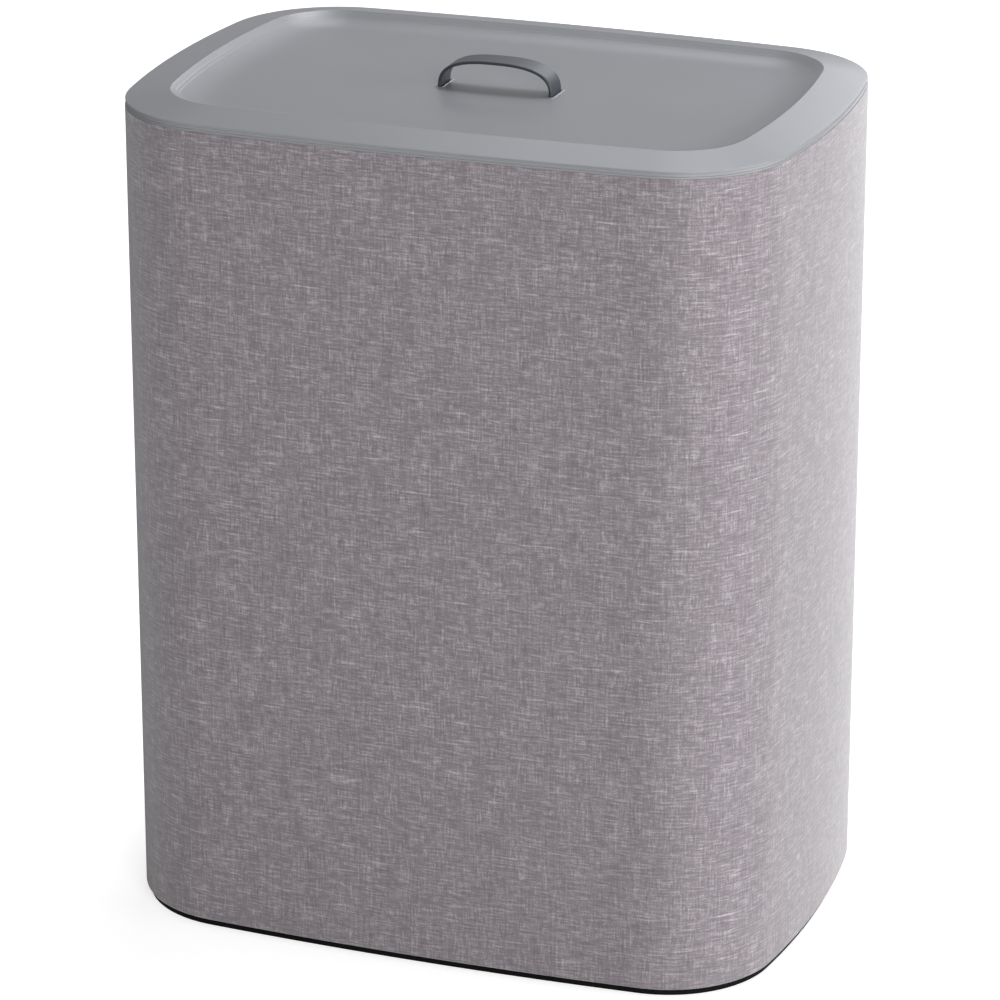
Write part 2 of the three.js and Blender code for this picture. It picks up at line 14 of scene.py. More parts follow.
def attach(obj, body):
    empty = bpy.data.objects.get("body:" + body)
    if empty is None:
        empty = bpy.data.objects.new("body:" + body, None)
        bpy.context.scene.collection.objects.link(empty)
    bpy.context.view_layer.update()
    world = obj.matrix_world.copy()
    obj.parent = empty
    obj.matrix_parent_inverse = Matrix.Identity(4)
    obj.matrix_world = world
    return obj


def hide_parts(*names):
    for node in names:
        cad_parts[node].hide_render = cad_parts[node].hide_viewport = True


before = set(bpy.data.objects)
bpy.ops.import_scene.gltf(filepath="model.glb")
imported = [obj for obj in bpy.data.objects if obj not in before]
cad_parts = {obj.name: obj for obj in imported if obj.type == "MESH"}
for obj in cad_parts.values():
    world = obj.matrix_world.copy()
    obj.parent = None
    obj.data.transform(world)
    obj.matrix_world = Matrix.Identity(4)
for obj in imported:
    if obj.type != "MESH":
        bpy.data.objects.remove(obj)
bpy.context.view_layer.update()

MM = 0.001
SPACING = 3.0  # along an outline
SMOOTH_ANGLE = math.radians(32)

# Outline of the walls
BODY_WIDTH, BODY_DEPTH, BODY_HEIGHT = 490, 344, 600
LONG_RADIUS, SIDE_RADIUS, CORNER_RADIUS = 2555, 717, 82

# Heights and insets that several pieces share
COVER_BOTTOM, COVER_TOP = 5.3, 594.2
FLANGE_BOTTOM, RIM_TOP = 594.3, 597.6
LEDGE_TOP, LEDGE_BOTTOM, SKIRT_BOTTOM = 562.4, 559.9, 539.9
TRAY_FLOOR, TRAY_EDGE_TOP = 3.8, 5.0
LID_UNDER, RECESS_FLOOR, RECESS_EDGE = 597.7, 596.4, 604.8
BAND_WIDTH = 31.5
BIN_INSET = 9.3
BIN_MIDDLE_RADIUS = 34
BIN_GAP = 3
BAIL_HEIGHT = 572.0
BIN_RIM_BOTTOM, BIN_RIM_TOP = 562.7, 565.7
PIVOTS = {"outer": 127.6, "inner": 109.6}
BAIL_OUTER, BAIL_INNER = 16, 22
SACK_BOTTOM = 6.4


def linked(name, data):
    obj = bpy.data.objects.new(name, data)
    bpy.context.scene.collection.objects.link(obj)
    return obj


# Camera, at the photograph's viewing angle: degrees, metres, and millimetres of lens
CAMERA_AZIMUTH, CAMERA_ELEVATION = 19.990, 20.401
CAMERA_PLACE = (1.1017, -3.0273, 1.4886)
CAMERA_LENS, CAMERA_SENSOR = 172.10, 36


def add_camera():
    azimuth, elevation = math.radians(CAMERA_AZIMUTH), math.radians(CAMERA_ELEVATION)
    across = Vector((math.cos(azimuth), math.sin(azimuth), 0))
    behind = Vector((math.sin(azimuth) * math.cos(elevation),
                     -math.cos(azimuth) * math.cos(elevation), math.sin(elevation)))
    up = behind.cross(across)
    camera = linked("camera", bpy.data.cameras.new("camera"))
    camera.data.lens = CAMERA_LENS
    camera.data.sensor_width = CAMERA_SENSOR
    camera.data.clip_end = 100
    axes = Matrix((across, up, behind)).transposed().to_4x4()
    camera.matrix_world = Matrix.Translation(CAMERA_PLACE) @ axes
    bpy.context.scene.camera = camera


# Node trees
def node(tree, kind, inputs=None, **settings):
    made = tree.nodes.new(kind)
    for key, value in settings.items():
        setattr(made, key, value)
    for key, value in (inputs or {}).items():
        if isinstance(value, bpy.types.NodeSocket):
            tree.links.new(value, made.inputs[key])
        else:
            made.inputs[key].default_value = value
    return made


def calc(tree, operation, *values, clamp=False):
    inputs = dict(enumerate(values))
    return node(tree, "ShaderNodeMath", inputs, operation=operation, use_clamp=clamp).outputs[0]


def scaled(tree, vector, scale):
    inputs = {0: vector, 1: scale}
    return node(tree, "ShaderNodeVectorMath", inputs, operation="MULTIPLY").outputs[0]


def noise(tree, vector, scale=1.0, detail=2.0, roughness=0.5):
    inputs = {"Vector": vector, "Scale": scale, "Detail": detail, "Roughness": roughness}
    return node(tree, "ShaderNodeTexNoise", inputs).outputs["Fac"]


def between(tree, factor, low, high):
    inputs = {0: factor, 6: (*low, 1), 7: (*high, 1)}
    return node(tree, "ShaderNodeMix", inputs, data_type="RGBA").outputs[2]


def remap(tree, value, low, high, to_low=0.0, to_high=1.0):
    inputs = {0: value, 1: low, 2: high, 3: to_low, 4: to_high}
    return node(tree, "ShaderNodeMapRange", inputs).outputs[0]


def linear(*levels):
    """A colour written as sRGB levels from 0 to 255."""
    shares = [level / 255 for level in levels]
    return tuple(s / 12.92 if s <= 0.04045 else ((s + 0.055) / 1.055) ** 2.4 for s in shares)


def new_material(name, **sockets):
    material = bpy.data.materials.new(name)
    material.use_nodes = True
    tree = material.node_tree
    shader = tree.nodes["Principled BSDF"]
    for key, value in sockets.items():
        shader.inputs[key.replace("_", " ")].default_value = value
    return material, tree, shader


def bump(tree, shader, height, distance, strength=1.0):
    inputs = {"Height": height, "Distance": distance * MM, "Strength": strength}
    tree.links.new(node(tree, "ShaderNodeBump", inputs).outputs[0], shader.inputs["Normal"])


def object_place(tree):
    return node(tree, "ShaderNodeTexCoord").outputs["Object"]


def woven(name, dark, mid, light, thread, streak, contrast, slubs, depth, **sockets):
    """A plain weave of uneven yarn: thread is the width of a thread and streak the length of its
    lighter and darker runs, in millimetres. The UV map "cloth" is in metres, along and up the cloth."""
    material, tree, shader = new_material(name, Roughness=0.92, **sockets)
    place = node(tree, "ShaderNodeUVMap", uv_map="cloth").outputs[0]
    fine, long = 1 / (thread * MM), 1 / (streak * MM)

    def stretched(along, up, detail=1.0, roughness=0.5):
        return noise(tree, scaled(tree, place, (along, up, 0)), detail=detail, roughness=roughness)

    def centred(value):
        return calc(tree, "SUBTRACT", value, 0.5)

    # The warp shows more in some patches than in others
    patches = remap(tree, stretched(long * 1.1, long * 0.6), 0.35, 0.65, 0.35, 1.8)
    warp = calc(tree, "MULTIPLY", centred(stretched(fine, long, 2.5, 0.6)), patches)
    layers = [  # each with its share of the contrast
        (centred(stretched(long, fine, 2.5, 0.6)), 0.60),  # weft
        (centred(stretched(long * 0.4, fine * 0.9)), 0.22),  # long weft
        (warp, 0.40),
        (centred(stretched(fine * 0.8, long * 0.25)), 0.20),  # long warp
        (centred(stretched(fine * 1.3, fine * 1.3, 3.0, 0.7)), 0.56),  # fibres
        (centred(stretched(long * 0.3, long * 1.2, 2.0)), 0.16),  # broad bands
        (centred(stretched(long * 1.2, long * 0.2, 2.0)), 0.15),  # broad columns
    ]
    level = 0.5
    for value, share in layers:
        level = calc(tree, "MULTIPLY_ADD", value, contrast * share, level)
    # Slubs: thick light places in single threads, and some dark ones
    weft_slub = stretched(long * 0.32, fine * 0.75)
    warp_slub = stretched(fine * 0.75, long * 0.32)
    for slub, low, high, share in ((weft_slub, 0.60, 0.80, 1), (weft_slub, 0.38, 0.20, -0.6),
                                   (warp_slub, 0.62, 0.82, 0.6)):
        level = calc(tree, "MULTIPLY_ADD", remap(tree, slub, low, high), share * slubs, level)
    ramp = node(tree, "ShaderNodeValToRGB", {0: level})
    stops = ramp.color_ramp.elements
    stops[0].position, stops[0].color = 0.0, (*dark, 1)
    stops[1].position, stops[1].color = 1.0, (*light, 1)
    middle = stops.new(0.5)
    middle.color = (*mid, 1)
    tree.links.new(ramp.outputs[0], shader.inputs["Base Color"])
    split = node(tree, "ShaderNodeSeparateXYZ", {0: scaled(tree, place, (fine, fine, 0))})
    along = calc(tree, "SINE", calc(tree, "MULTIPLY", split.outputs[0], math.pi))
    upward = calc(tree, "SINE", calc(tree, "MULTIPLY", split.outputs[1], math.pi))
    crossing = calc(tree, "MULTIPLY", along, upward)
    bump(tree, shader, calc(tree, "MULTIPLY_ADD", crossing, 0.35, level), depth)
    return material


def moulded(name, colour, roughness, grain=0.02, **sockets):
    """Moulded plastic: a fine even grain, with broad faint changes of gloss."""
    material, tree, shader = new_material(name, **sockets)
    place = object_place(tree)
    cloud = noise(tree, place, scale=14, detail=3)
    dust = noise(tree, place, scale=900, detail=2)
    darker = tuple(c * 0.97 for c in colour)
    lighter = tuple(c * 1.03 for c in colour)
    tree.links.new(between(tree, cloud, darker, lighter), shader.inputs["Base Color"])
    gloss = remap(tree, cloud, 0.3, 0.7, roughness - 0.03, roughness + 0.03)
    tree.links.new(gloss, shader.inputs["Roughness"])
    bump(tree, shader, dust, grain)
    return material


def metal(name, colour, roughness):
    """Machined steel with turning marks and a little wear."""
    material, tree, shader = new_material(name, Metallic=1.0)
    place = object_place(tree)
    rings = noise(tree, scaled(tree, place, (2600, 300, 2600)), detail=2)
    stain = noise(tree, place, scale=180, detail=3)
    base = between(tree, stain, tuple(c * 0.8 for c in colour), colour)
    tree.links.new(base, shader.inputs["Base Color"])
    gloss = remap(tree, rings, 0.3, 0.7, roughness - 0.06, roughness + 0.1)
    tree.links.new(gloss, shader.inputs["Roughness"])
    bump(tree, shader, rings, 0.01)
    return material


def pressed_board(name, colour):
    """Stiff board of pressed fibres, with specks."""
    material, tree, shader = new_material(name, Roughness=0.9)
    place = object_place(tree)
    fibres = noise(tree, scaled(tree, place, (160, 160, 900)), detail=4, roughness=0.7)
    specks = remap(tree, noise(tree, place, scale=1500, detail=1), 0.62, 0.7)
    base = between(tree, fibres, tuple(c * 0.82 for c in colour), tuple(c * 1.12 for c in colour))
    speck = (*[c * 0.5 for c in colour], 1)
    mixed = node(tree, "ShaderNodeMix", {0: specks, 6: base, 7: speck}, data_type="RGBA")
    tree.links.new(mixed.outputs[2], shader.inputs["Base Color"])
    bump(tree, shader, fibres, 0.08)
    return material


MATERIALS = {
    "cover_fabric": woven("heathered_cover", linear(96, 90, 95), linear(132, 125, 130), linear(195, 189, 193),
                          thread=1.4, streak=9, contrast=1.32, slubs=0.26, depth=0.06, Sheen_Weight=0.6),
    "lining_fabric": woven("lining_weave", linear(74, 73, 77), linear(98, 96, 101), linear(126, 124, 128),
                           thread=0.6, streak=8, contrast=1.0, slubs=0.1, depth=0.08),
    "sack_fabric": woven("sack_canvas", linear(140, 138, 138), linear(170, 168, 168), linear(198, 197, 196),
                         thread=0.8, streak=9, contrast=1.1, slubs=0.15, depth=0.12, Sheen_Weight=0.08),
    "grey_plastic": moulded("grey_satin_plastic", linear(148, 149, 152), 0.34),
    "black_plastic": moulded("black_plastic", linear(9, 9, 10), 0.6, grain=0.03, Specular_IOR_Level=0.15),
    "dark_plastic": moulded("dark_bail_plastic", linear(40, 42, 46), 0.42),
    "strap_rubber": moulded("slate_strap", linear(42, 49, 57), 0.42, grain=0.012, IOR=1.65),
    "grip_rubber": moulded("grip_rubber", linear(62, 67, 74), 0.6, grain=0.05),
    "foot_rubber": moulded("foot_rubber", linear(30, 30, 32), 0.8, grain=0.06),
    "stiff_board": pressed_board("grey_board", linear(146, 140, 131)),
    "steel": metal("plated_steel", linear(196, 197, 199), 0.28),
    "thread": moulded("sewing_thread", linear(176, 170, 174), 0.85, grain=0.05),
}


# Outlines
def sample_rows(count, *values):
    """Samples in rows, from arrays and from numbers that all samples share."""
    return np.column_stack([np.broadcast_to(np.asarray(value, float), count) for value in values])


def bend(x, y, radius, start, end):
    """Samples round an arc, without its last: centre x and y, radius and angle."""
    steps = max(1, round(abs(end - start) * radius / SPACING))
    return sample_rows(steps, x, y, radius, np.linspace(start, end, steps + 1)[:-1])


def straight(x, from_y, to_y, radius, angle):
    """Samples along a straight side, as centres of arcs that all turn to the same angle."""
    steps = max(1, round(abs(to_y - from_y) / SPACING))
    return sample_rows(steps, x, np.linspace(from_y, to_y, steps + 1)[:-1], radius, angle)


def distances(points):
    """The distance along a line at each of its points."""
    steps = np.linalg.norm(np.diff(points, axis=0), axis=1)
    return np.concatenate([[0], np.cumsum(steps)])


class Outline:
    """A line seen from above, drawn at any inset."""

    def __init__(self, parts, end=None):
        self.closed = end is None
        self.samples = np.vstack(parts if end is None else [*parts, end])

    def at(self, inset):
        x, y, radius, angle = self.samples.T
        reach = radius - inset
        return np.column_stack([x + reach * np.cos(angle), y + reach * np.sin(angle)])

    def along(self):
        """The distance along the line at each sample, and at the start again where it is closed."""
        points = self.at(0)
        if self.closed:
            points = np.vstack([points, points[:1]])
        return distances(points)


def corner_centre():
    to_long, to_side = LONG_RADIUS - CORNER_RADIUS, SIDE_RADIUS - CORNER_RADIUS
    apart = math.hypot(SIDE_CENTRE, LONG_CENTRE)
    along = (to_long ** 2 - to_side ** 2 + apart ** 2) / (2 * apart)
    across = math.sqrt(to_long ** 2 - along ** 2)
    return ((LONG_CENTRE * across - SIDE_CENTRE * along) / apart,
            (LONG_CENTRE * along + SIDE_CENTRE * across) / apart - LONG_CENTRE)


LONG_CENTRE = LONG_RADIUS - BODY_DEPTH / 2
SIDE_CENTRE = SIDE_RADIUS - BODY_WIDTH / 2
CORNER_X, CORNER_Y = corner_centre()
SIDE_ANGLE = math.atan2(CORNER_Y, CORNER_X + SIDE_CENTRE)
CORNER_ANGLE = math.atan2(CORNER_Y + LONG_CENTRE, CORNER_X)


def half_turned(samples):
    return np.column_stack([-samples[:, 0], -samples[:, 1], samples[:, 2], samples[:, 3] + math.pi])


# Each face and corner, anticlockwise
RIGHT_FACE = bend(-SIDE_CENTRE, 0, SIDE_RADIUS, -SIDE_ANGLE, SIDE_ANGLE)
BACK_RIGHT = bend(CORNER_X, CORNER_Y, CORNER_RADIUS, SIDE_ANGLE, CORNER_ANGLE)
BACK_FACE_A = bend(0, -LONG_CENTRE, LONG_RADIUS, CORNER_ANGLE, math.pi / 2)
BACK_FACE_B = bend(0, -LONG_CENTRE, LONG_RADIUS, math.pi / 2, math.pi - CORNER_ANGLE)
BACK_LEFT = bend(-CORNER_X, CORNER_Y, CORNER_RADIUS, math.pi - CORNER_ANGLE, math.pi - SIDE_ANGLE)
LEFT_FACE, FRONT_LEFT = half_turned(RIGHT_FACE), half_turned(BACK_RIGHT)
FRONT_FACE = np.vstack([half_turned(BACK_FACE_A), half_turned(BACK_FACE_B)])
FRONT_RIGHT = half_turned(BACK_LEFT)
WALL_PARTS = [BACK_FACE_B, BACK_LEFT, LEFT_FACE, FRONT_LEFT, FRONT_FACE, FRONT_RIGHT, RIGHT_FACE, BACK_RIGHT,
              BACK_FACE_A]
WALLS = Outline(WALL_PARTS)

# The right bin: the walls' outline inside the rim, closed by a straight middle side
BIN_LONG = LONG_RADIUS - BIN_INSET
BIN_MIDDLE_X = BIN_GAP / 2 + BIN_MIDDLE_RADIUS
BIN_MIDDLE_Y = math.sqrt((BIN_LONG - BIN_MIDDLE_RADIUS) ** 2 - BIN_MIDDLE_X ** 2) - LONG_CENTRE
MIDDLE_ANGLE = math.atan2(BIN_MIDDLE_Y + LONG_CENTRE, BIN_MIDDLE_X)


def front_bend(x, y, radius, start, end):
    """An arc's mirror image in the front half."""
    return bend(x, -y, radius, 2 * math.pi - end, 2 * math.pi - start)


def bin_back_y(x, inset):
    return math.sqrt((BIN_LONG - inset) ** 2 - x ** 2) - LONG_CENTRE


def bin_back_angle(x, inset):
    return math.acos(x / (BIN_LONG - inset))


BIN_SIDE = (-SIDE_CENTRE, 0, SIDE_RADIUS - BIN_INSET, -SIDE_ANGLE, SIDE_ANGLE)
BIN_CORNER = (CORNER_X, CORNER_Y, CORNER_RADIUS - BIN_INSET, SIDE_ANGLE, CORNER_ANGLE)
BIN_BACK = (0, -LONG_CENTRE, BIN_LONG, CORNER_ANGLE, MIDDLE_ANGLE)
BIN_MIDDLE = (BIN_MIDDLE_X, BIN_MIDDLE_Y, BIN_MIDDLE_RADIUS, MIDDLE_ANGLE, math.pi)
BIN_STRAIGHT = (BIN_MIDDLE_X, BIN_MIDDLE_Y, -BIN_MIDDLE_Y, BIN_MIDDLE_RADIUS, math.pi)
BIN = Outline([
    bend(*BIN_MIDDLE), straight(*BIN_STRAIGHT), front_bend(*BIN_MIDDLE), front_bend(*BIN_BACK),
    front_bend(*BIN_CORNER), bend(*BIN_SIDE), bend(*BIN_CORNER), bend(*BIN_BACK),
])


def outer_bail_line():
    angle = bin_back_angle(PIVOTS["outer"], BAIL_OUTER)
    back = (0, -LONG_CENTRE, BIN_LONG, CORNER_ANGLE, angle)
    parts = [front_bend(*back), front_bend(*BIN_CORNER), bend(*BIN_SIDE), bend(*BIN_CORNER), bend(*back)]
    return Outline(parts, end=[[0, -LONG_CENTRE, BIN_LONG, angle]])


def inner_bail_line():
    angle = bin_back_angle(PIVOTS["inner"], BAIL_OUTER)
    back = (0, -LONG_CENTRE, BIN_LONG, angle, MIDDLE_ANGLE)
    parts = [bend(*back), bend(*BIN_MIDDLE), straight(*BIN_STRAIGHT), front_bend(*BIN_MIDDLE),
             front_bend(*back)]
    return Outline(parts, end=[[0, LONG_CENTRE, BIN_LONG, 2 * math.pi - angle]])


# Profiles
def rounded(corners, closed=True, steps=4):
    """Rows round a profile whose corners are (inset, height, radius)."""
    rows = []
    for i, (inset, z, radius) in enumerate(corners):
        here = np.array([inset, z], float)
        if not radius or (not closed and i in (0, len(corners) - 1)):
            rows.append(here)
            continue
        before = np.array(corners[i - 1][:2], float) - here
        after = np.array(corners[(i + 1) % len(corners)][:2], float) - here
        before, after = before / np.linalg.norm(before), after / np.linalg.norm(after)
        half = math.acos(np.clip(before @ after, -1, 1)) / 2
        middle = (before + after) / np.linalg.norm(before + after)
        centre = here + middle * radius / math.sin(half)
        first = here + before * radius / math.tan(half) - centre
        last = here + after * radius / math.tan(half) - centre
        start = math.atan2(first[1], first[0])
        turn = math.atan2(first[0] * last[1] - first[1] * last[0], first @ last)
        for share in np.linspace(0, 1, steps + 1):
            angle = start + turn * share
            rows.append(centre + radius * np.array([math.cos(angle), math.sin(angle)]))
    return rows


# Meshes
def new_object(name, vertices, faces, uvs=None):
    """vertices in millimetres; uvs has one (u, v) in millimetres for each corner of each face."""
    mesh = bpy.data.meshes.new(name)
    mesh.from_pydata((np.asarray(vertices, float) * MM).tolist(), [], faces)
    layer = mesh.uv_layers.new(name="cloth")
    if uvs is not None:
        flat = np.asarray([corner for face in uvs for corner in face], float) * MM
        layer.data.foreach_set("uv", flat.ravel())
    work = bmesh.new()
    work.from_mesh(mesh)
    bmesh.ops.recalc_face_normals(work, faces=work.faces)
    work.to_mesh(mesh)
    work.free()
    return linked(name, mesh)


def skin(name, outline, rows, loop=True, ends=False):
    """A surface through the outline at each row of (inset, height). With loop the profile closes on
    itself; otherwise its first and last rows are filled. An inset may be one value for each sample."""
    lines = [outline.at(np.asarray(row[0])) for row in rows]
    heights = [np.broadcast_to(np.asarray(row[1], float), len(lines[0])) for row in rows]
    vertices = np.vstack([np.column_stack([line, z]) for line, z in zip(lines, heights)])
    width, count = len(lines[0]), len(rows)
    along = outline.along()
    up = distances(vertices[[k % count * width for k in range(count + 1)]])
    columns = width if outline.closed else width - 1
    faces, uvs = [], []
    for k in range(count if loop else count - 1):
        low, high = k * width, (k + 1) % count * width
        for i in range(columns):
            j = (i + 1) % width
            faces.append((low + i, high + i, high + j, low + j))
            start, end = along[i], along[i + 1]
            uvs.append(((start, up[k]), (start, up[k + 1]), (end, up[k + 1]), (end, up[k])))
    caps = []
    if not loop:
        caps = [list(range(width)), list(range((count - 1) * width, count * width))]
    if ends:
        caps = [[k * width + i for k in range(count)] for i in (0, width - 1)]
    for cap in caps:
        faces.append(tuple(cap))
        uvs.append([tuple(vertices[v][:2]) for v in cap])
    return new_object(name, vertices, faces, uvs)


def lathe(name, profile, origin, axis, segments=32):
    """A turned piece. The profile is (radius, height) from its start to its end on the axis."""
    axis = Vector(axis).normalized()
    turn = Vector((0, 0, 1)).rotation_difference(axis).to_matrix()
    vertices, faces, rings = [], [], []
    for radius, height in profile:
        if radius < 1e-6:
            rings.append([len(vertices)])
            vertices.append(Vector((0, 0, height)))
            continue
        rings.append(list(range(len(vertices), len(vertices) + segments)))
        for i in range(segments):
            angle = 2 * math.pi * i / segments
            vertices.append(Vector((radius * math.cos(angle), radius * math.sin(angle), height)))
    for low, high in zip(rings, rings[1:]):
        for i in range(segments):
            j = (i + 1) % segments
            corners = [low[i % len(low)], low[j % len(low)], high[j % len(high)], high[i % len(high)]]
            faces.append(tuple(dict.fromkeys(corners)))
    placed = [turn @ v + Vector(origin) for v in vertices]
    return new_object(name, [tuple(v) for v in placed], faces)


def block(name, low, high, edge=0.6, segments=3):
    """A box with rounded edges."""
    low, high = Vector(low), Vector(high)
    work = bmesh.new()
    bmesh.ops.create_cube(work, size=1)
    for v in work.verts:
        v.co = Vector([(a + b) / 2 + c * (b - a) for a, b, c in zip(low, high, v.co)]) * MM
    bmesh.ops.bevel(work, geom=work.edges[:], offset=edge * MM, segments=segments, profile=0.5,
                    affect="EDGES")
    mesh = bpy.data.meshes.new(name)
    work.to_mesh(mesh)
    work.free()
    mesh.uv_layers.new(name="cloth")
    return linked(name, mesh)


def tube_faces(rings, width, first=0):
    """The faces of a tube of rings, its two ends filled. Its vertices count from first."""
    faces = []
    for ring in range(rings - 1):
        for k in range(width):
            a, b = first + ring * width + k, first + ring * width + (k + 1) % width
            faces.append((a, b, b + width, a + width))
    last = first + (rings - 1) * width
    return [*faces, tuple(range(first, first + width)), tuple(range(last, last + width))]


def sweep(name, stations, section):
    """A closed section (across, out) along stations of (point, across, out, size), its ends filled."""
    vertices = []
    for point, across, out, size in stations:
        for a, b in section:
            vertices.append(tuple(Vector(point) + Vector(across) * a * size + Vector(out) * b * size))
    return new_object(name, vertices, tube_faces(len(stations), len(section)))


def apply_modifiers(obj):
    graph = bpy.context.evaluated_depsgraph_get()
    evaluated = obj.evaluated_get(graph)
    mesh = bpy.data.meshes.new_from_object(evaluated, preserve_all_data_layers=True, depsgraph=graph)
    obj.modifiers.clear()
    obj.data = mesh


def combine(obj, others, operation):
    for other in others:
        modifier = obj.modifiers.new(operation.lower(), "BOOLEAN")
        modifier.operation = operation
        modifier.solver = "EXACT"
        modifier.object = other
        apply_modifiers(obj)
        bpy.data.objects.remove(other)
    return obj


def cut(obj, *cutters):
    return combine(obj, cutters, "DIFFERENCE")


def joined(obj, *others):
    return combine(obj, others, "UNION")


def merged(name, objects):
    """One object from several that don't touch."""
    work = bmesh.new()
    for obj in objects:
        work.from_mesh(obj.data)
        bpy.data.objects.remove(obj)
    mesh = bpy.data.meshes.new(name)
    work.to_mesh(mesh)
    work.free()
    return linked(name, mesh)


def settle(obj, body, slot, replaced=(), material=None, turn=0.0, angle=SMOOTH_ANGLE):
    """Give a piece its material, its smooth shading, its place and its body."""
    if turn:
        obj.data.transform(Matrix.Rotation(turn, 4, "Z"))
    obj.data.materials.clear()
    obj.data.materials.append(MATERIALS[material or slot])
    for polygon in obj.data.polygons:
        polygon.material_index = 0
    obj.data.shade_smooth()
    obj.data.set_sharp_from_angle(angle=angle)
    weights = obj.modifiers.new("normals", "WEIGHTED_NORMAL")
    weights.keep_sharp = True
    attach(obj, body)
    if replaced:
        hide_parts(*replaced)
    return obj


def stitches(name, places, length, thickness):
    """A row of thread stitches. Each place is (point, direction along the seam, direction out)."""
    # Shares of length and thickness
    beads = [(-0.5, 0.35), (-0.34, 0.8), (0.0, 1.0), (0.34, 0.8), (0.5, 0.35)]
    sides = 6
    vertices, faces = [], []
    for point, along, out in places:
        point, along, out = Vector(point), Vector(along).normalized(), Vector(out).normalized()
        side = along.cross(out)
        first = len(vertices)
        for share, size in beads:
            centre = point + along * length * share + out * thickness * (0.25 * size - 0.15)
            for k in range(sides):
                angle = 2 * math.pi * k / sides
                reach = (side * math.cos(angle) + out * 0.7 * math.sin(angle)) * thickness / 2 * size
                vertices.append(tuple(centre + reach))
        faces += tube_faces(len(beads), sides, first)
    return new_object(name, vertices, faces)


def smoothstep(value, low, high):
    share = np.clip((value - low) / (high - low), 0, 1)
    return share * share * (3 - 2 * share)


# Walls: cover, boards and lining
COVER_THICKNESS = 1.2
BOARD_OUTER, BOARD_INNER = 1.5, 4.5
LINING_OUTER, LINING_INNER = 5.0, 5.6
LAP_WIDTH, LAP_GAP = 14, 0.1
STITCH_PITCH, STITCH_THICKNESS = 4.6, 0.7
HEM_WIDTH = 4  # turned in under the boards
# The turned edge as (inset, height), up its outside and then down its inside
HEM_OUTSIDE = [(inset, COVER_BOTTOM + rise) for inset, rise in
               ((HEM_WIDTH, 0), (2.2, 0), (1.4, 0.1), (0.7, 0.6), (0.2, 1.5), (0, 3.0))]
HEM_INSIDE = [(inset, COVER_BOTTOM + rise) for inset, rise in
              ((COVER_THICKNESS, 3.2), (1.3, 1.9), (1.9, 1.0), (HEM_WIDTH, 0.8))]


def lapped_line():
    """The walls' outline from the middle of the back round to it again and a lap's width on."""
    overlap = LAP_WIDTH / LONG_RADIUS
    extra = bend(0, -LONG_CENTRE, LONG_RADIUS, math.pi / 2, math.pi / 2 + overlap)
    return Outline([*WALL_PARTS, extra], end=[[0, -LONG_CENTRE, LONG_RADIUS, math.pi / 2 + overlap]])


def add_cover():
    line = lapped_line()
    along = line.along()
    total = along[-1]
    lift = smoothstep(along, total - LAP_WIDTH - 9, total - LAP_WIDTH - 1) * (COVER_THICKNESS + LAP_GAP)
    heights = [*np.linspace(COVER_BOTTOM + 9, COVER_TOP - 0.4, 58), COVER_TOP]
    outer = [*HEM_OUTSIDE, *[(0, z) for z in heights[:-1]], (0.15, COVER_TOP)]
    inner = [*[(COVER_THICKNESS, z) for z in heights[::-1]], *HEM_INSIDE]
    cover = skin("cover_wrap", line, [(inset - lift, z) for inset, z in outer + inner], ends=True)
    settle(cover, "shell", "cover_fabric", ["outer_cover"])
    places = []
    for offset in (3.0, LAP_WIDTH - 3.0):
        angle = math.pi / 2 + offset / LONG_RADIUS
        out = Vector((math.cos(angle), math.sin(angle), 0))
        base = Vector((0, -LONG_CENTRE, 0)) + out * (LONG_RADIUS + COVER_THICKNESS + LAP_GAP)
        for z in np.arange(COVER_BOTTOM + 6, COVER_TOP - 4, STITCH_PITCH):
            places.append((base + Vector((0, 0, z)), (0, 0, 1), out))
    seam = stitches("cover_seam_stitches", places, 3.6, STITCH_THICKNESS)
    settle(seam, "shell", "cover_fabric", material="thread")


def add_boards():
    gap = 1 / LONG_RADIUS  # an angle of 1 mm between two boards
    front_start, front_end = CORNER_ANGLE + math.pi, 2 * math.pi - CORNER_ANGLE
    front = (0, LONG_CENTRE, LONG_RADIUS, front_start + gap, front_end - gap)
    back = (0, -LONG_CENTRE, LONG_RADIUS, CORNER_ANGLE + gap, math.pi - CORNER_ANGLE - gap)
    lines = {
        "front": Outline([bend(*front)], end=[[*front[:3], front[-1]]]),
        "back": Outline([bend(*back)], end=[[*back[:3], back[-1]]]),
        "left": Outline([BACK_LEFT, LEFT_FACE, FRONT_LEFT],
                        end=[[-CORNER_X, -CORNER_Y, CORNER_RADIUS, CORNER_ANGLE + math.pi]]),
        "right": Outline([FRONT_RIGHT, RIGHT_FACE, BACK_RIGHT],
                         end=[[CORNER_X, CORNER_Y, CORNER_RADIUS, CORNER_ANGLE]]),
    }
    foot = COVER_BOTTOM + 1
    rows = rounded([(BOARD_INNER, COVER_TOP, 0.4), (BOARD_OUTER, COVER_TOP, 0.4), (BOARD_OUTER, foot, 1.2),
                    (BOARD_INNER, foot, 0.4)], steps=2)
    for side, line in lines.items():
        board = skin(f"board_{side}", line, rows, ends=True)
        settle(board, "shell", "stiff_board", [f"{side}_board"])


def add_lining():
    rows = rounded([(LINING_INNER, COVER_TOP, 0), (LINING_OUTER, COVER_TOP, 0),
                    (LINING_OUTER, COVER_BOTTOM, 0), (LINING_INNER, COVER_BOTTOM, 0)])
    lining = skin("inner_lining", WALLS, rows)
    settle(lining, "shell", "lining_fabric", ["wall_lining"])


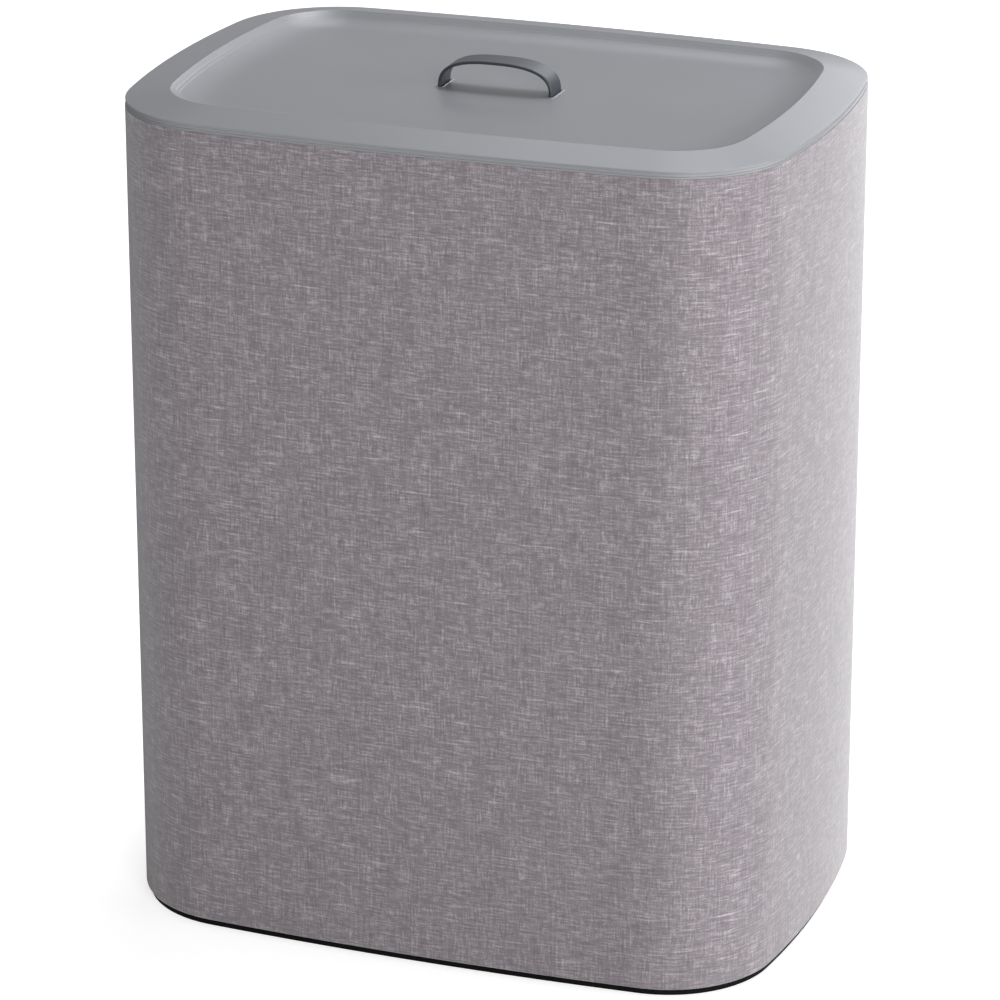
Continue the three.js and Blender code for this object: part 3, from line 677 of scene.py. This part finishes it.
# Base tray and feet
TRAY_WALL_OUTER, TRAY_WALL_INNER, TRAY_WALL_TOP = 5.9, 8.4, 41.0
TRAY_FOOT = 0.4  # height of its underside
RIB_PLACES, RIB_REACH = (-150, -75, 75, 150), 120
FOOT_RADIUS, FOOT_HEIGHT, POCKET_GAP = 12, 1.3, 0.3
FOOT_INSET = 32
FOOT_REACH = (CORNER_RADIUS - FOOT_INSET) * math.sqrt(0.5)
FOOT_PLACES = [(sx * (CORNER_X + FOOT_REACH), sy * (CORNER_Y + FOOT_REACH))
               for sx, sy in ((-1, -1), (1, -1), (1, 1), (-1, 1))]


def add_base():
    corners = [(16, TRAY_FLOOR, 0), (TRAY_WALL_INNER, TRAY_FLOOR, 3), (TRAY_WALL_INNER, TRAY_WALL_TOP, 0.8),
               (TRAY_WALL_OUTER, TRAY_WALL_TOP, 0.8), (TRAY_WALL_OUTER, TRAY_EDGE_TOP, 0.2),
               (2.5, TRAY_EDGE_TOP, 0.4), (3.3, TRAY_FOOT, 0.4), (9, TRAY_FOOT, 0)]
    tray = skin("bottom_tray", WALLS, rounded(corners, closed=False), loop=False)
    radius, top = FOOT_RADIUS + POCKET_GAP, FOOT_HEIGHT + POCKET_GAP
    pocket = [(0, -2), (radius, -2), (radius, top), (0, top)]
    cut(tray, *[lathe("pocket", pocket, (x, y, 0), (0, 0, 1), 48) for x, y in FOOT_PLACES])
    settle(tray, "shell", "black_plastic", ["base_tray"])
    low, high = TRAY_FLOOR - 0.4, TRAY_FLOOR + 1.4
    ribs = [block("rib", (x - 1, -RIB_REACH, low), (x + 1, RIB_REACH, high), 0.4) for x in RIB_PLACES]
    settle(merged("tray_ribs", ribs), "shell", "black_plastic")
    # Two rings stand on the floor, with shallow grooves between them
    profile = [(0, 0.2), (4, 0.2), (4.3, 0), (6.3, 0), (6.6, 0.2), (8.2, 0.2), (8.5, 0), (11.3, 0),
               (11.8, 0.15), (FOOT_RADIUS, 0.5), (FOOT_RADIUS, FOOT_HEIGHT), (0, FOOT_HEIGHT)]
    for i, (x, y) in enumerate(FOOT_PLACES, 1):
        foot = lathe(f"rubber_foot_{i}", profile, (x, y, 0), (0, 0, 1), 48)
        settle(foot, "shell", "foot_rubber", [f"foot_{i}"])


# Rim frame, cross bar and screws
SKIRT_OUTER, SKIRT_INNER, LEDGE_INNER = 5.9, 8.1, 19.1
GROOVE_INSET, GROOVE_BOTTOM = 0.95, 596.0  # under the lid's edge
BAR_HALF, BAR_REACH, BAR_BOTTOM = 11.3, 152.3, 558.9
WEB_HALF, WEB_REACH, WEB_BOTTOM = 1.5, 161.5, 540.9
PLATE_HALF, PLATE_INNER, PLATE_OUTER = 18, 160.3, 163.3
SCREW_X, SCREW_HEIGHT, SCREW_SEAT = 11, 549.9, 160.0


def add_rim():
    corners = [(SKIRT_INNER, RIM_TOP, 0.5), (GROOVE_INSET, RIM_TOP, 0.15), (GROOVE_INSET, GROOVE_BOTTOM, 0.3),
               (0.3, 595.5, 0.3), (0.3, 594.5, 0.1), (0.5, FLANGE_BOTTOM, 0.05),
               (SKIRT_OUTER, FLANGE_BOTTOM, 0.2), (SKIRT_OUTER, SKIRT_BOTTOM, 0.6),
               (SKIRT_INNER, SKIRT_BOTTOM, 0.6), (SKIRT_INNER, LEDGE_BOTTOM, 0.8),
               (LEDGE_INNER, LEDGE_BOTTOM, 0.8), (LEDGE_INNER, LEDGE_TOP, 0.8), (SKIRT_INNER, LEDGE_TOP, 1.5)]
    rim = skin("top_rim", WALLS, rounded(corners))
    settle(rim, "shell", "grey_plastic", ["rim_frame"])


def gusset(side, sign):
    """A triangular rib between the bar's web and its end plate."""
    half, middle, foot = 1.2, 8, 160.8
    outline = [(0, 541.5), (14, 559.2), (0, 559.2)]
    vertices = []
    for x in (middle * sign - half, middle * sign + half):
        vertices += [(x, side * (foot - reach), z) for reach, z in outline]
    faces = [(0, 1, 2), (3, 5, 4), (0, 3, 4, 1), (1, 4, 5, 2), (2, 5, 3, 0)]
    return new_object("gusset", vertices, faces)


def add_cross_bar():
    bar = block("middle_bar", (-BAR_HALF, -BAR_REACH, BAR_BOTTOM), (BAR_HALF, BAR_REACH, LEDGE_TOP), 1.0)
    parts = [block("web", (-WEB_HALF, -WEB_REACH, WEB_BOTTOM), (WEB_HALF, WEB_REACH, 559.4), 0.6)]
    for side in (-1, 1):
        low, high = sorted((side * PLATE_INNER, side * PLATE_OUTER))
        parts.append(block("plate", (-PLATE_HALF, low, WEB_BOTTOM), (PLATE_HALF, high, 559.6), 0.8))
        parts += [gusset(side, sign) for sign in (-1, 1)]
    joined(bar, *parts)
    settle(bar, "shell", "grey_plastic", ["cross_bar"])
    places = [(-SCREW_X, -1), (SCREW_X, -1), (SCREW_X, 1), (-SCREW_X, 1)]
    for i, (x, side) in enumerate(places, 1):
        screw = pan_screw(f"bar_screw_{i}", (x, side * SCREW_SEAT, SCREW_HEIGHT), side)
        settle(screw, "shell", "steel", [f"cross_bar_screw_{i}"])


def pan_screw(name, seat, side):
    """Its head lies on the end plate's inner face, towards the middle, with a cross recess."""
    head = [(0, -2.4), (1.6, -2.35), (2.8, -2.05), (3.6, -1.4), (3.95, -0.6), (3.9, 0)]
    profile = [*head, (2, 0), (2, 4.6), (1.2, 5.4), (0, 5.4)]
    screw = lathe(name, profile, seat, (0, side, 0), 32)
    x, y, z = seat
    near, far = sorted((y - side * 3.2, y - side * 1.1))
    for half_x, half_z in ((0.45, 2.0), (2.0, 0.45)):
        cut(screw, block("recess", (x - half_x, near, z - half_z), (x + half_x, far, z + half_z), 0.15, 1))
    return screw


# Lid
EDGE_INSET, EDGE_ROUNDING = 0.3, 0.6
EDGE_DROP = 0.6  # of the lid's outer edge under the walls' nominal height
LID_THICKNESS = 2.5
WALL_WIDTH = 18.5  # of the wall's underside
RECESS_RUN, SLOPE_POWER = 36, 2.6  # of its upper side, from the band to the level floor
STEPS, STEP_HEIGHT, STEP_RUN = (4.2, 6.7), 0.12, 0.7  # two fine steps in it
# Down the wall's underside, as shares of its width and depth
WALL_SLOPE = [(0, 0), (0.23, 0.33), (0.37, 0.6), (0.51, 0.79), (0.73, 0.94), (1, 1)]


def recess_rows():
    """The wall of the lid's recess from its floor up: a slope that fades into the floor."""
    step_ends = [at + side * STEP_RUN / 2 for at in STEPS for side in (-1, 1)]
    runs = [*np.linspace(0, RECESS_RUN, 31), *step_ends]
    depth = RECESS_EDGE - RECESS_FLOOR - STEP_HEIGHT * len(STEPS)
    rows = []
    for run in sorted(runs, reverse=True):
        slope = depth * (1 - (1 - run / RECESS_RUN) ** SLOPE_POWER)
        steps = STEP_HEIGHT * sum(run > at for at in STEPS)
        rows.append((BAND_WIDTH + run, RECESS_EDGE - slope - steps, 0 if run else 0.6))
    return rows


def add_lid():
    depth, top = RECESS_EDGE - RECESS_FLOOR, BODY_HEIGHT - EDGE_DROP
    centre_inset, centre_z = EDGE_INSET + EDGE_ROUNDING, top - EDGE_ROUNDING
    edge = []
    for degrees in (80, 64, 48, 32, 16, 0):
        angle = math.radians(degrees)
        edge.append((centre_inset - EDGE_ROUNDING * math.cos(angle),
                     centre_z + EDGE_ROUNDING * math.sin(angle), 0))
    band = []
    for share in np.linspace(0.12, 0.94, 9):
        band.append((BAND_WIDTH + (edge[0][0] - BAND_WIDTH) * share,
                     RECESS_EDGE + (edge[0][1] - RECESS_EDGE) * share, 0))
    outer, inner, rib_bottom = 8.9, 11.0, 590.3  # of the rib that centres the lid in the rim
    rib_top = top + (RECESS_EDGE - top) * inner / BAND_WIDTH - LID_THICKNESS
    under = [(0.9, LID_UNDER, 0), (outer, LID_UNDER, 0.3), (outer, rib_bottom, 0.7),
             (inner, rib_bottom, 0.7), (inner, rib_top, 0.8)]
    for across, down in WALL_SLOPE:
        under.append((BAND_WIDTH - LID_THICKNESS + (WALL_WIDTH + LID_THICKNESS) * across,
                      RECESS_EDGE - LID_THICKNESS - depth * down, 2.0 if 0 < across < 1 else 0))
    under.append((BAND_WIDTH + WALL_WIDTH + 4, RECESS_FLOOR - LID_THICKNESS, 0))
    rows = rounded([*recess_rows(), *band, *edge, *under], closed=False)
    lid = skin("lid_cap", WALLS, rows, loop=False)
    low, high = 590, 606  # beyond both faces of the floor
    slots = [block("slot", (x - SLOT_HALF, -SLOT_REACH, low), (x + SLOT_HALF, SLOT_REACH, high), 0.9)
             for x in (-SLOT_X, SLOT_X)]
    cut(lid, *slots)
    settle(lid, "lid", "grey_plastic", ["lid_shell"])


# Handle: a strap bent to a rounded arch, its ends down through two slots
HANDLE_HALF, HANDLE_RISE, STRAP_WIDTH, STRAP_THICKNESS = 42.2, 21.2, 20.5, 2.2
STRAP_END = 589.4
ARCH_POWER = 2.7  # 2 is an ellipse, and more is squarer
SLOT_X, SLOT_HALF, SLOT_REACH = 41.1, 1.5, 10.65


def add_handle():
    power = 2 / ARCH_POWER
    steps = 56
    leg = np.linspace(STRAP_END, RECESS_FLOOR - 0.6, 6)
    path = [(HANDLE_HALF, z) for z in leg]
    for i in range(steps + 1):
        angle = math.pi * i / steps
        across = math.copysign(abs(math.cos(angle)) ** power, math.cos(angle))
        path.append((HANDLE_HALF * across, RECESS_FLOOR + HANDLE_RISE * max(math.sin(angle), 0) ** power))
    path += [(-HANDLE_HALF, z) for z in leg[::-1]]
    path = evenly_spaced(path, 1.6)
    tangents = np.gradient(path, axis=0)
    tangents /= np.linalg.norm(tangents, axis=1)[:, None]
    stations = [((x, 0, z), (0, 1, 0), (tz, 0, -tx), 1.0) for (x, z), (tx, tz) in zip(path, tangents)]
    half = STRAP_WIDTH / 2
    section = rounded([(-half, 0, 0.9), (half, 0, 0.9),
                       (half, -STRAP_THICKNESS, 0.7), (-half, -STRAP_THICKNESS, 0.7)])
    strap = sweep("lid_strap", stations, section)
    settle(strap, "lid", "strap_rubber", ["lid_handle"], angle=math.radians(50))
    radius, reach, height = 1.5, 8, 592.1  # of the cross pins
    profile = [(0, -reach), (radius - 0.4, -reach), (radius, -reach + 0.5),
               (radius, reach - 0.5), (radius - 0.4, reach), (0, reach)]
    for side, x in (("left", -SLOT_X), ("right", SLOT_X)):
        pin = lathe(f"strap_pin_{side}", profile, (x, 0, height), (1, 0, 0), 24)
        settle(pin, "lid", "steel", [f"handle_pin_{side}"])
        add_slot_collar(f"slot_collar_{side}", x)


def add_slot_collar(name, x):
    """A low bead moulded round a slot of the handle."""
    corner, reach_x, reach_y = 2.6, 0.9, 10.05
    samples = []
    for sx, sy, start in ((1, 1, 0), (-1, 1, 90), (-1, -1, 180), (1, -1, 270)):
        for degrees in range(start, start + 91, 15):
            samples.append([x + sx * reach_x, sy * reach_y, corner, math.radians(degrees)])
    bead = [(0, -0.2), (0.15, 0.1), (0.45, 0.3), (0.85, 0.4), (1.2, 0.35), (1.45, 0.2), (1.6, -0.2)]
    collar = skin(name, Outline([np.array(samples)]), [(inset, RECESS_FLOOR + rise) for inset, rise in bead])
    settle(collar, "lid", "grey_plastic", angle=math.radians(60))


def evenly_spaced(path, spacing):
    path = np.array(path, float)
    along = distances(path)
    wanted = np.linspace(0, along[-1], max(2, round(along[-1] / spacing)) + 1)
    return np.column_stack([np.interp(wanted, along, path[:, k]) for k in range(path.shape[1])])


# Bins. Each is built as the right one, and the left one is turned half round
SACK_TOP_INSET, SACK_FOOT_INSET = 11.2, 15.2
SACK_ROUNDING = 8
HEM_ROWS = (548.5, 545.0)


def sack_inset(along, total, z):
    """The sack's outer face: it hangs from the mouth frame, narrows a little and falls in soft folds."""
    drop = (LEDGE_TOP - z) / (LEDGE_TOP - SACK_BOTTOM)
    turn = 2 * math.pi * along / total
    free = float(smoothstep(drop, 0.04, 0.35)) * (1 - 0.55 * float(smoothstep(drop, 0.8, 1.0)))
    folds = (0.9 * np.sin(7 * turn + 1.9 * drop + 0.4) + 0.7 * np.sin(11 * turn - 3.1 * drop + 2.2)
             + 0.5 * np.sin(17 * turn + 4.3 * drop + 5.0) + 0.6 * np.sin(5 * turn - 5.5 * drop))
    slump = 1.1 * np.sin(9 * drop * math.pi + 1.3 * np.sin(3 * turn)) * smoothstep(drop, 0.55, 0.9)
    return SACK_TOP_INSET + (SACK_FOOT_INSET - SACK_TOP_INSET) * drop + free * (2.8 + 1.15 * folds + slump)


def add_sack(side, body, turn):
    along = BIN.along()
    total, along = along[-1], along[:-1]
    thickness, rounding = 1.2, SACK_ROUNDING
    heights = np.linspace(LEDGE_TOP, SACK_BOTTOM + rounding, 56)
    walls = [(sack_inset(along, total, z), z) for z in heights]
    outer, inner = list(walls), [(inset + thickness, z) for inset, z in walls]
    foot = walls[-1][0]
    for degrees in (25, 50, 75, 90):
        angle = math.radians(degrees)
        across, down = 1 - math.cos(angle), math.sin(angle)
        z = SACK_BOTTOM + rounding * (1 - down)
        outer.append((foot + rounding * across, z))
        inner.append((foot + thickness + (rounding - thickness) * across, z + thickness * down))
    rows = inner[::-1] + outer
    sack = skin(f"{side}_sack", BIN, rows, loop=False)
    soften = sack.modifiers.new("soft", "SMOOTH")
    soften.factor, soften.iterations = 0.3, 1
    apply_modifiers(sack)
    settle(sack, body, "sack_fabric", [f"{side}_bin_sack"], turn=turn)
    trims = sack_trims(side, body, turn, along, total)


def sack_trims(side, body, turn, along, total):
    """Two rows of stitches under the mouth frame, and piping round the foot."""
    places = []
    for z in HEM_ROWS:
        inset = sack_inset(along, total, z) - 0.05
        line = BIN.at(inset)
        closed = np.vstack([line, line[:1]])
        path = evenly_spaced(closed, STITCH_PITCH)
        ahead = np.roll(path[:-1], -1, axis=0) - path[:-1]
        for (x, y), (dx, dy) in zip(path[:-1], ahead):
            places.append(((x, y, z), (dx, dy, 0), (dy, -dx, 0)))
    hem = stitches(f"{side}_hem_stitches", places, 3.4, STITCH_THICKNESS)
    settle(hem, body, "sack_fabric", material="thread", turn=turn)
    foot = sack_inset(along, total, SACK_BOTTOM + SACK_ROUNDING)
    angles = np.linspace(0, 2 * math.pi, 9)[:-1]
    radius, height = 1.3, SACK_BOTTOM + 3
    section = [(foot + 2.3 - radius * math.cos(a), height + radius * math.sin(a)) for a in angles]
    piping = settle(skin(f"{side}_foot_piping", BIN, section), body, "sack_fabric", turn=turn)
    return [hem, piping]


def add_mouth_frame(side, body, turn):
    outer, inner, bottom = 12.5, 15, 540.7  # of its skirt
    corners = [(inner, BIN_RIM_TOP, 0.9), (0, BIN_RIM_TOP, 1.2), (0, BIN_RIM_BOTTOM, 0.9),
               (outer, BIN_RIM_BOTTOM, 0.2), (outer, bottom, 0.7), (inner, bottom, 0.7)]
    rim = skin(f"{side}_mouth_frame", BIN, rounded(corners))
    centre = (PIVOTS["outer"] + PIVOTS["inner"]) / 2
    parts, holes = [], []
    for y_side in (-1, 1):
        parts.append(lug(centre, *sorted(y_side * bin_back_y(centre, inset) for inset in (11, 15))))
        for x in PIVOTS.values():
            holes.append(pin_hole(x, *[y_side * (bin_back_y(x, 13) + reach) for reach in (-6, 6)]))
    joined(rim, *parts)
    cut(rim, *holes)
    settle(rim, body, "grey_plastic", [f"{side}_bin_rim"], turn=turn)


def lug(centre, low, high):
    """An upright plate with rounded shoulders that holds a bin's pins."""
    half, bottom, height, shoulder, edge = 17, 563.5, 578, 6, 0.6

    def face(shrink):
        reach, top, radius = half - shrink, height - shrink, shoulder - shrink
        return rounded([(centre - reach, bottom, 0), (centre + reach, bottom, 0),
                        (centre + reach, top, radius), (centre - reach, top, radius)], steps=6)

    rows = [(face(edge), low), (face(0), low + edge), (face(0), high - edge), (face(edge), high)]
    vertices = [(x, y, z) for points, y in rows for x, z in points]
    return new_object("lug", vertices, tube_faces(len(rows), len(rows[0][0])))


def pin_hole(x, near, far):
    radius, length = 2.8, abs(far - near)
    return lathe("hole", [(0, 0), (radius, 0), (radius, length), (0, length)],
                 (x, min(near, far), BAIL_HEIGHT), (0, 1, 0), 32)


def add_base_board(side, body, turn):
    inset, low, high = 23.6, SACK_BOTTOM + 1.5, SACK_BOTTOM + 4.5
    rows = rounded([(30, high, 0), (inset, high, 1.2), (inset, low, 1.2), (30, low, 0)], closed=False)
    board = skin(f"{side}_floor_board", BIN, rows, loop=False)
    settle(board, body, "stiff_board", [f"{side}_bin_base_board"], turn=turn)


def add_bail(side, which, line, bin_body, turn):
    body = f"{side}_{which}_handle"
    low, high = BAIL_HEIGHT - 2.5, BAIL_HEIGHT + 2.5
    rows = rounded([(BAIL_OUTER, low, 1.4), (BAIL_OUTER, high, 1.4),
                    (BAIL_INNER, high, 1.4), (BAIL_INNER, low, 1.4)])
    bail = skin(f"{side}_{which}_bow", line, rows, ends=True)
    x = PIVOTS[which]
    hubs, holes = [], []
    for y_side in (-1, 1):
        outer = bin_back_y(x, BAIL_OUTER)
        profile = [(0, 0), (5.4, 0), (6, 0.6), (6, 5.4), (5.4, 6), (0, 6)]
        hubs.append(lathe("hub", profile, (x, y_side * outer, BAIL_HEIGHT), (0, -y_side, 0), 40))
        holes.append(pin_hole(x, y_side * (outer - 9), y_side * (outer + 3)))
    joined(bail, *hubs)
    cut(bail, *holes)
    settle(bail, body, "dark_plastic", [f"{side}_{which}_bail"], turn=turn)
    add_grip(side, which, body, turn)
    front = 1 if turn else -1
    for place, y_side in (("front", front), ("back", -front)):
        seat = bin_back_y(x, 11) + 0.6
        length = seat - bin_back_y(x, BAIL_INNER)
        head = [(0, 2.0), (1.6, 1.95), (3.0, 1.6), (4.1, 0.9), (4.5, 0.3), (4.4, 0)]
        profile = [*head, (2.5, 0), (2.5, -length + 0.5), (2.0, -length), (0, -length)]
        seat_point = (x, y_side * seat, BAIL_HEIGHT)
        pin = lathe(f"{side}_{which}_pivot_{place}", profile[::-1], seat_point, (0, y_side, 0), 32)
        settle(pin, bin_body, "steel", [f"{side}_{which}_pin_{place}"], turn=turn)


def add_grip(side, which, body, turn):
    """A soft sleeve with a collar at each end and shallow finger grooves."""
    middle = (BAIL_OUTER + BAIL_INNER) / 2
    half, half_width, half_thickness = 48.0, 5.7, 5.2
    stations = []
    for s in np.linspace(-half, half, 65):
        end = half - abs(s)
        size = 1 - 0.22 * max(0, 1 - end / 1.5) ** 2 + 0.05 * math.exp(-((end - 4) / 2.2) ** 2)
        size -= 0.045 * (0.5 + 0.5 * math.cos(2 * math.pi * s / 18)) * float(smoothstep(end, 8, 14))
        if which == "outer":
            radius = SIDE_RADIUS - BIN_INSET
            angle = s / radius
            reach = radius - middle
            point = (-SIDE_CENTRE + reach * math.cos(angle), reach * math.sin(angle), BAIL_HEIGHT)
            across = (math.cos(angle), math.sin(angle), 0)
        else:
            point = (BIN_GAP / 2 + middle, -s, BAIL_HEIGHT)
            across = (-1, 0, 0)
        stations.append((point, across, (0, 0, 1), size))
    angles = np.linspace(0, 2 * math.pi, 25)[:-1]
    section = [(half_width * math.cos(a), half_thickness * math.sin(a)) for a in angles]
    grip = sweep(f"{side}_{which}_sleeve", stations, section)
    settle(grip, body, "grip_rubber", [f"{side}_{which}_grip"], turn=turn)


def add_bin(side, turn):
    body = f"{side}_bin"
    add_mouth_frame(side, body, turn)
    add_sack(side, body, turn)
    add_base_board(side, body, turn)
    for which, line in (("outer", outer_bail_line()), ("inner", inner_bail_line())):
        add_bail(side, which, line, body, turn)


# Floor, background and lights
WORLD_LIGHT = 0.15
WORLD_GLOSS = 0.45  # the background as gloss shows it
FLOOR_GLOW = 0.7  # what the camera sees of the floor besides the light on it
WHITE, COOL_WHITE = (1, 1, 1), (0.98, 0.99, 1.05)
LIGHTS = {
    # name: place, point that it faces, width and height, all in metres, then watts and colour
    "front_right_softbox": ((3.0, -4.4, 1.2), (0, 0, 0.3), (2.4, 2.4), 184, WHITE),
    "right_softbox": ((4.4, 0.4, 0.9), (0, 0, 0.4), (2.4, 1.4), 112, WHITE),
    "top_softbox": ((0.37, 1.12, 3.14), (0, 0, 0.6), (1.1, 1.1), 36, COOL_WHITE),
    "back_top_softbox": ((-0.607, 2.854, 3.621), (0, 0, 0.6), (1.5, 1.5), 22, COOL_WHITE),
    "back_softbox": ((0.284, 4.065, 1.616), (0, 0, 0.6), (1.5, 1.5), 30, COOL_WHITE),
    "back_right_softbox": ((1.8, 3.6, 1.2), (0, 0, 0.6), (0.9, 1.1), 2, COOL_WHITE),
}


def add_stage():
    reach = 9000
    vertices = [(-reach, -reach, 0), (reach, -reach, 0), (reach, reach, 0), (-reach, reach, 0)]
    floor = new_object("studio_floor", vertices, [(0, 1, 2, 3)])
    material, tree, shader = new_material("pale_floor", Roughness=0.9, Specular_IOR_Level=0.1)
    tint = between(tree, noise(tree, object_place(tree), scale=3), (0.80, 0.80, 0.80), (0.83, 0.83, 0.83))
    tree.links.new(tint, shader.inputs["Base Color"])
    ray = node(tree, "ShaderNodeLightPath")
    glow = calc(tree, "MULTIPLY", ray.outputs["Is Camera Ray"], FLOOR_GLOW)
    emission = node(tree, "ShaderNodeEmission", {0: (1, 1, 1, 1), 1: glow})
    both = node(tree, "ShaderNodeAddShader", {0: shader.outputs[0], 1: emission.outputs[0]})
    tree.links.new(both.outputs[0], tree.nodes["Material Output"].inputs["Surface"])
    floor.data.materials.append(material)


def add_world():
    world = bpy.data.worlds.new("studio")
    bpy.context.scene.world = world
    world.use_nodes = True
    tree = world.node_tree
    background = tree.nodes["Background"]
    ray = node(tree, "ShaderNodeLightPath")
    seen = calc(tree, "MAXIMUM", ray.outputs["Is Camera Ray"], ray.outputs["Is Transmission Ray"])
    unseen = remap(tree, ray.outputs["Is Glossy Ray"], 0, 1, WORLD_LIGHT, WORLD_GLOSS)
    background.inputs["Color"].default_value = (1, 1, 1, 1)
    tree.links.new(calc(tree, "MAXIMUM", seen, unseen), background.inputs["Strength"])


def add_lights():
    for name, (place, target, (width, height), watts, colour) in LIGHTS.items():
        lamp = bpy.data.lights.new(name, "AREA")
        lamp.color = colour
        lamp.shape = "RECTANGLE"
        lamp.size, lamp.size_y, lamp.energy = width, height, watts
        light = linked(name, lamp)
        light.location = place
        light.rotation_euler = (Vector(target) - Vector(place)).to_track_quat("-Z", "Y").to_euler()


add_camera()
add_boards()
add_cover()
add_lining()
add_base()
add_rim()
add_cross_bar()
add_lid()
add_handle()
add_bin("right", 0.0)
add_bin("left", math.pi)
add_stage()
add_world()
add_lights()
bpy.context.scene.view_settings.view_transform = "Standard"
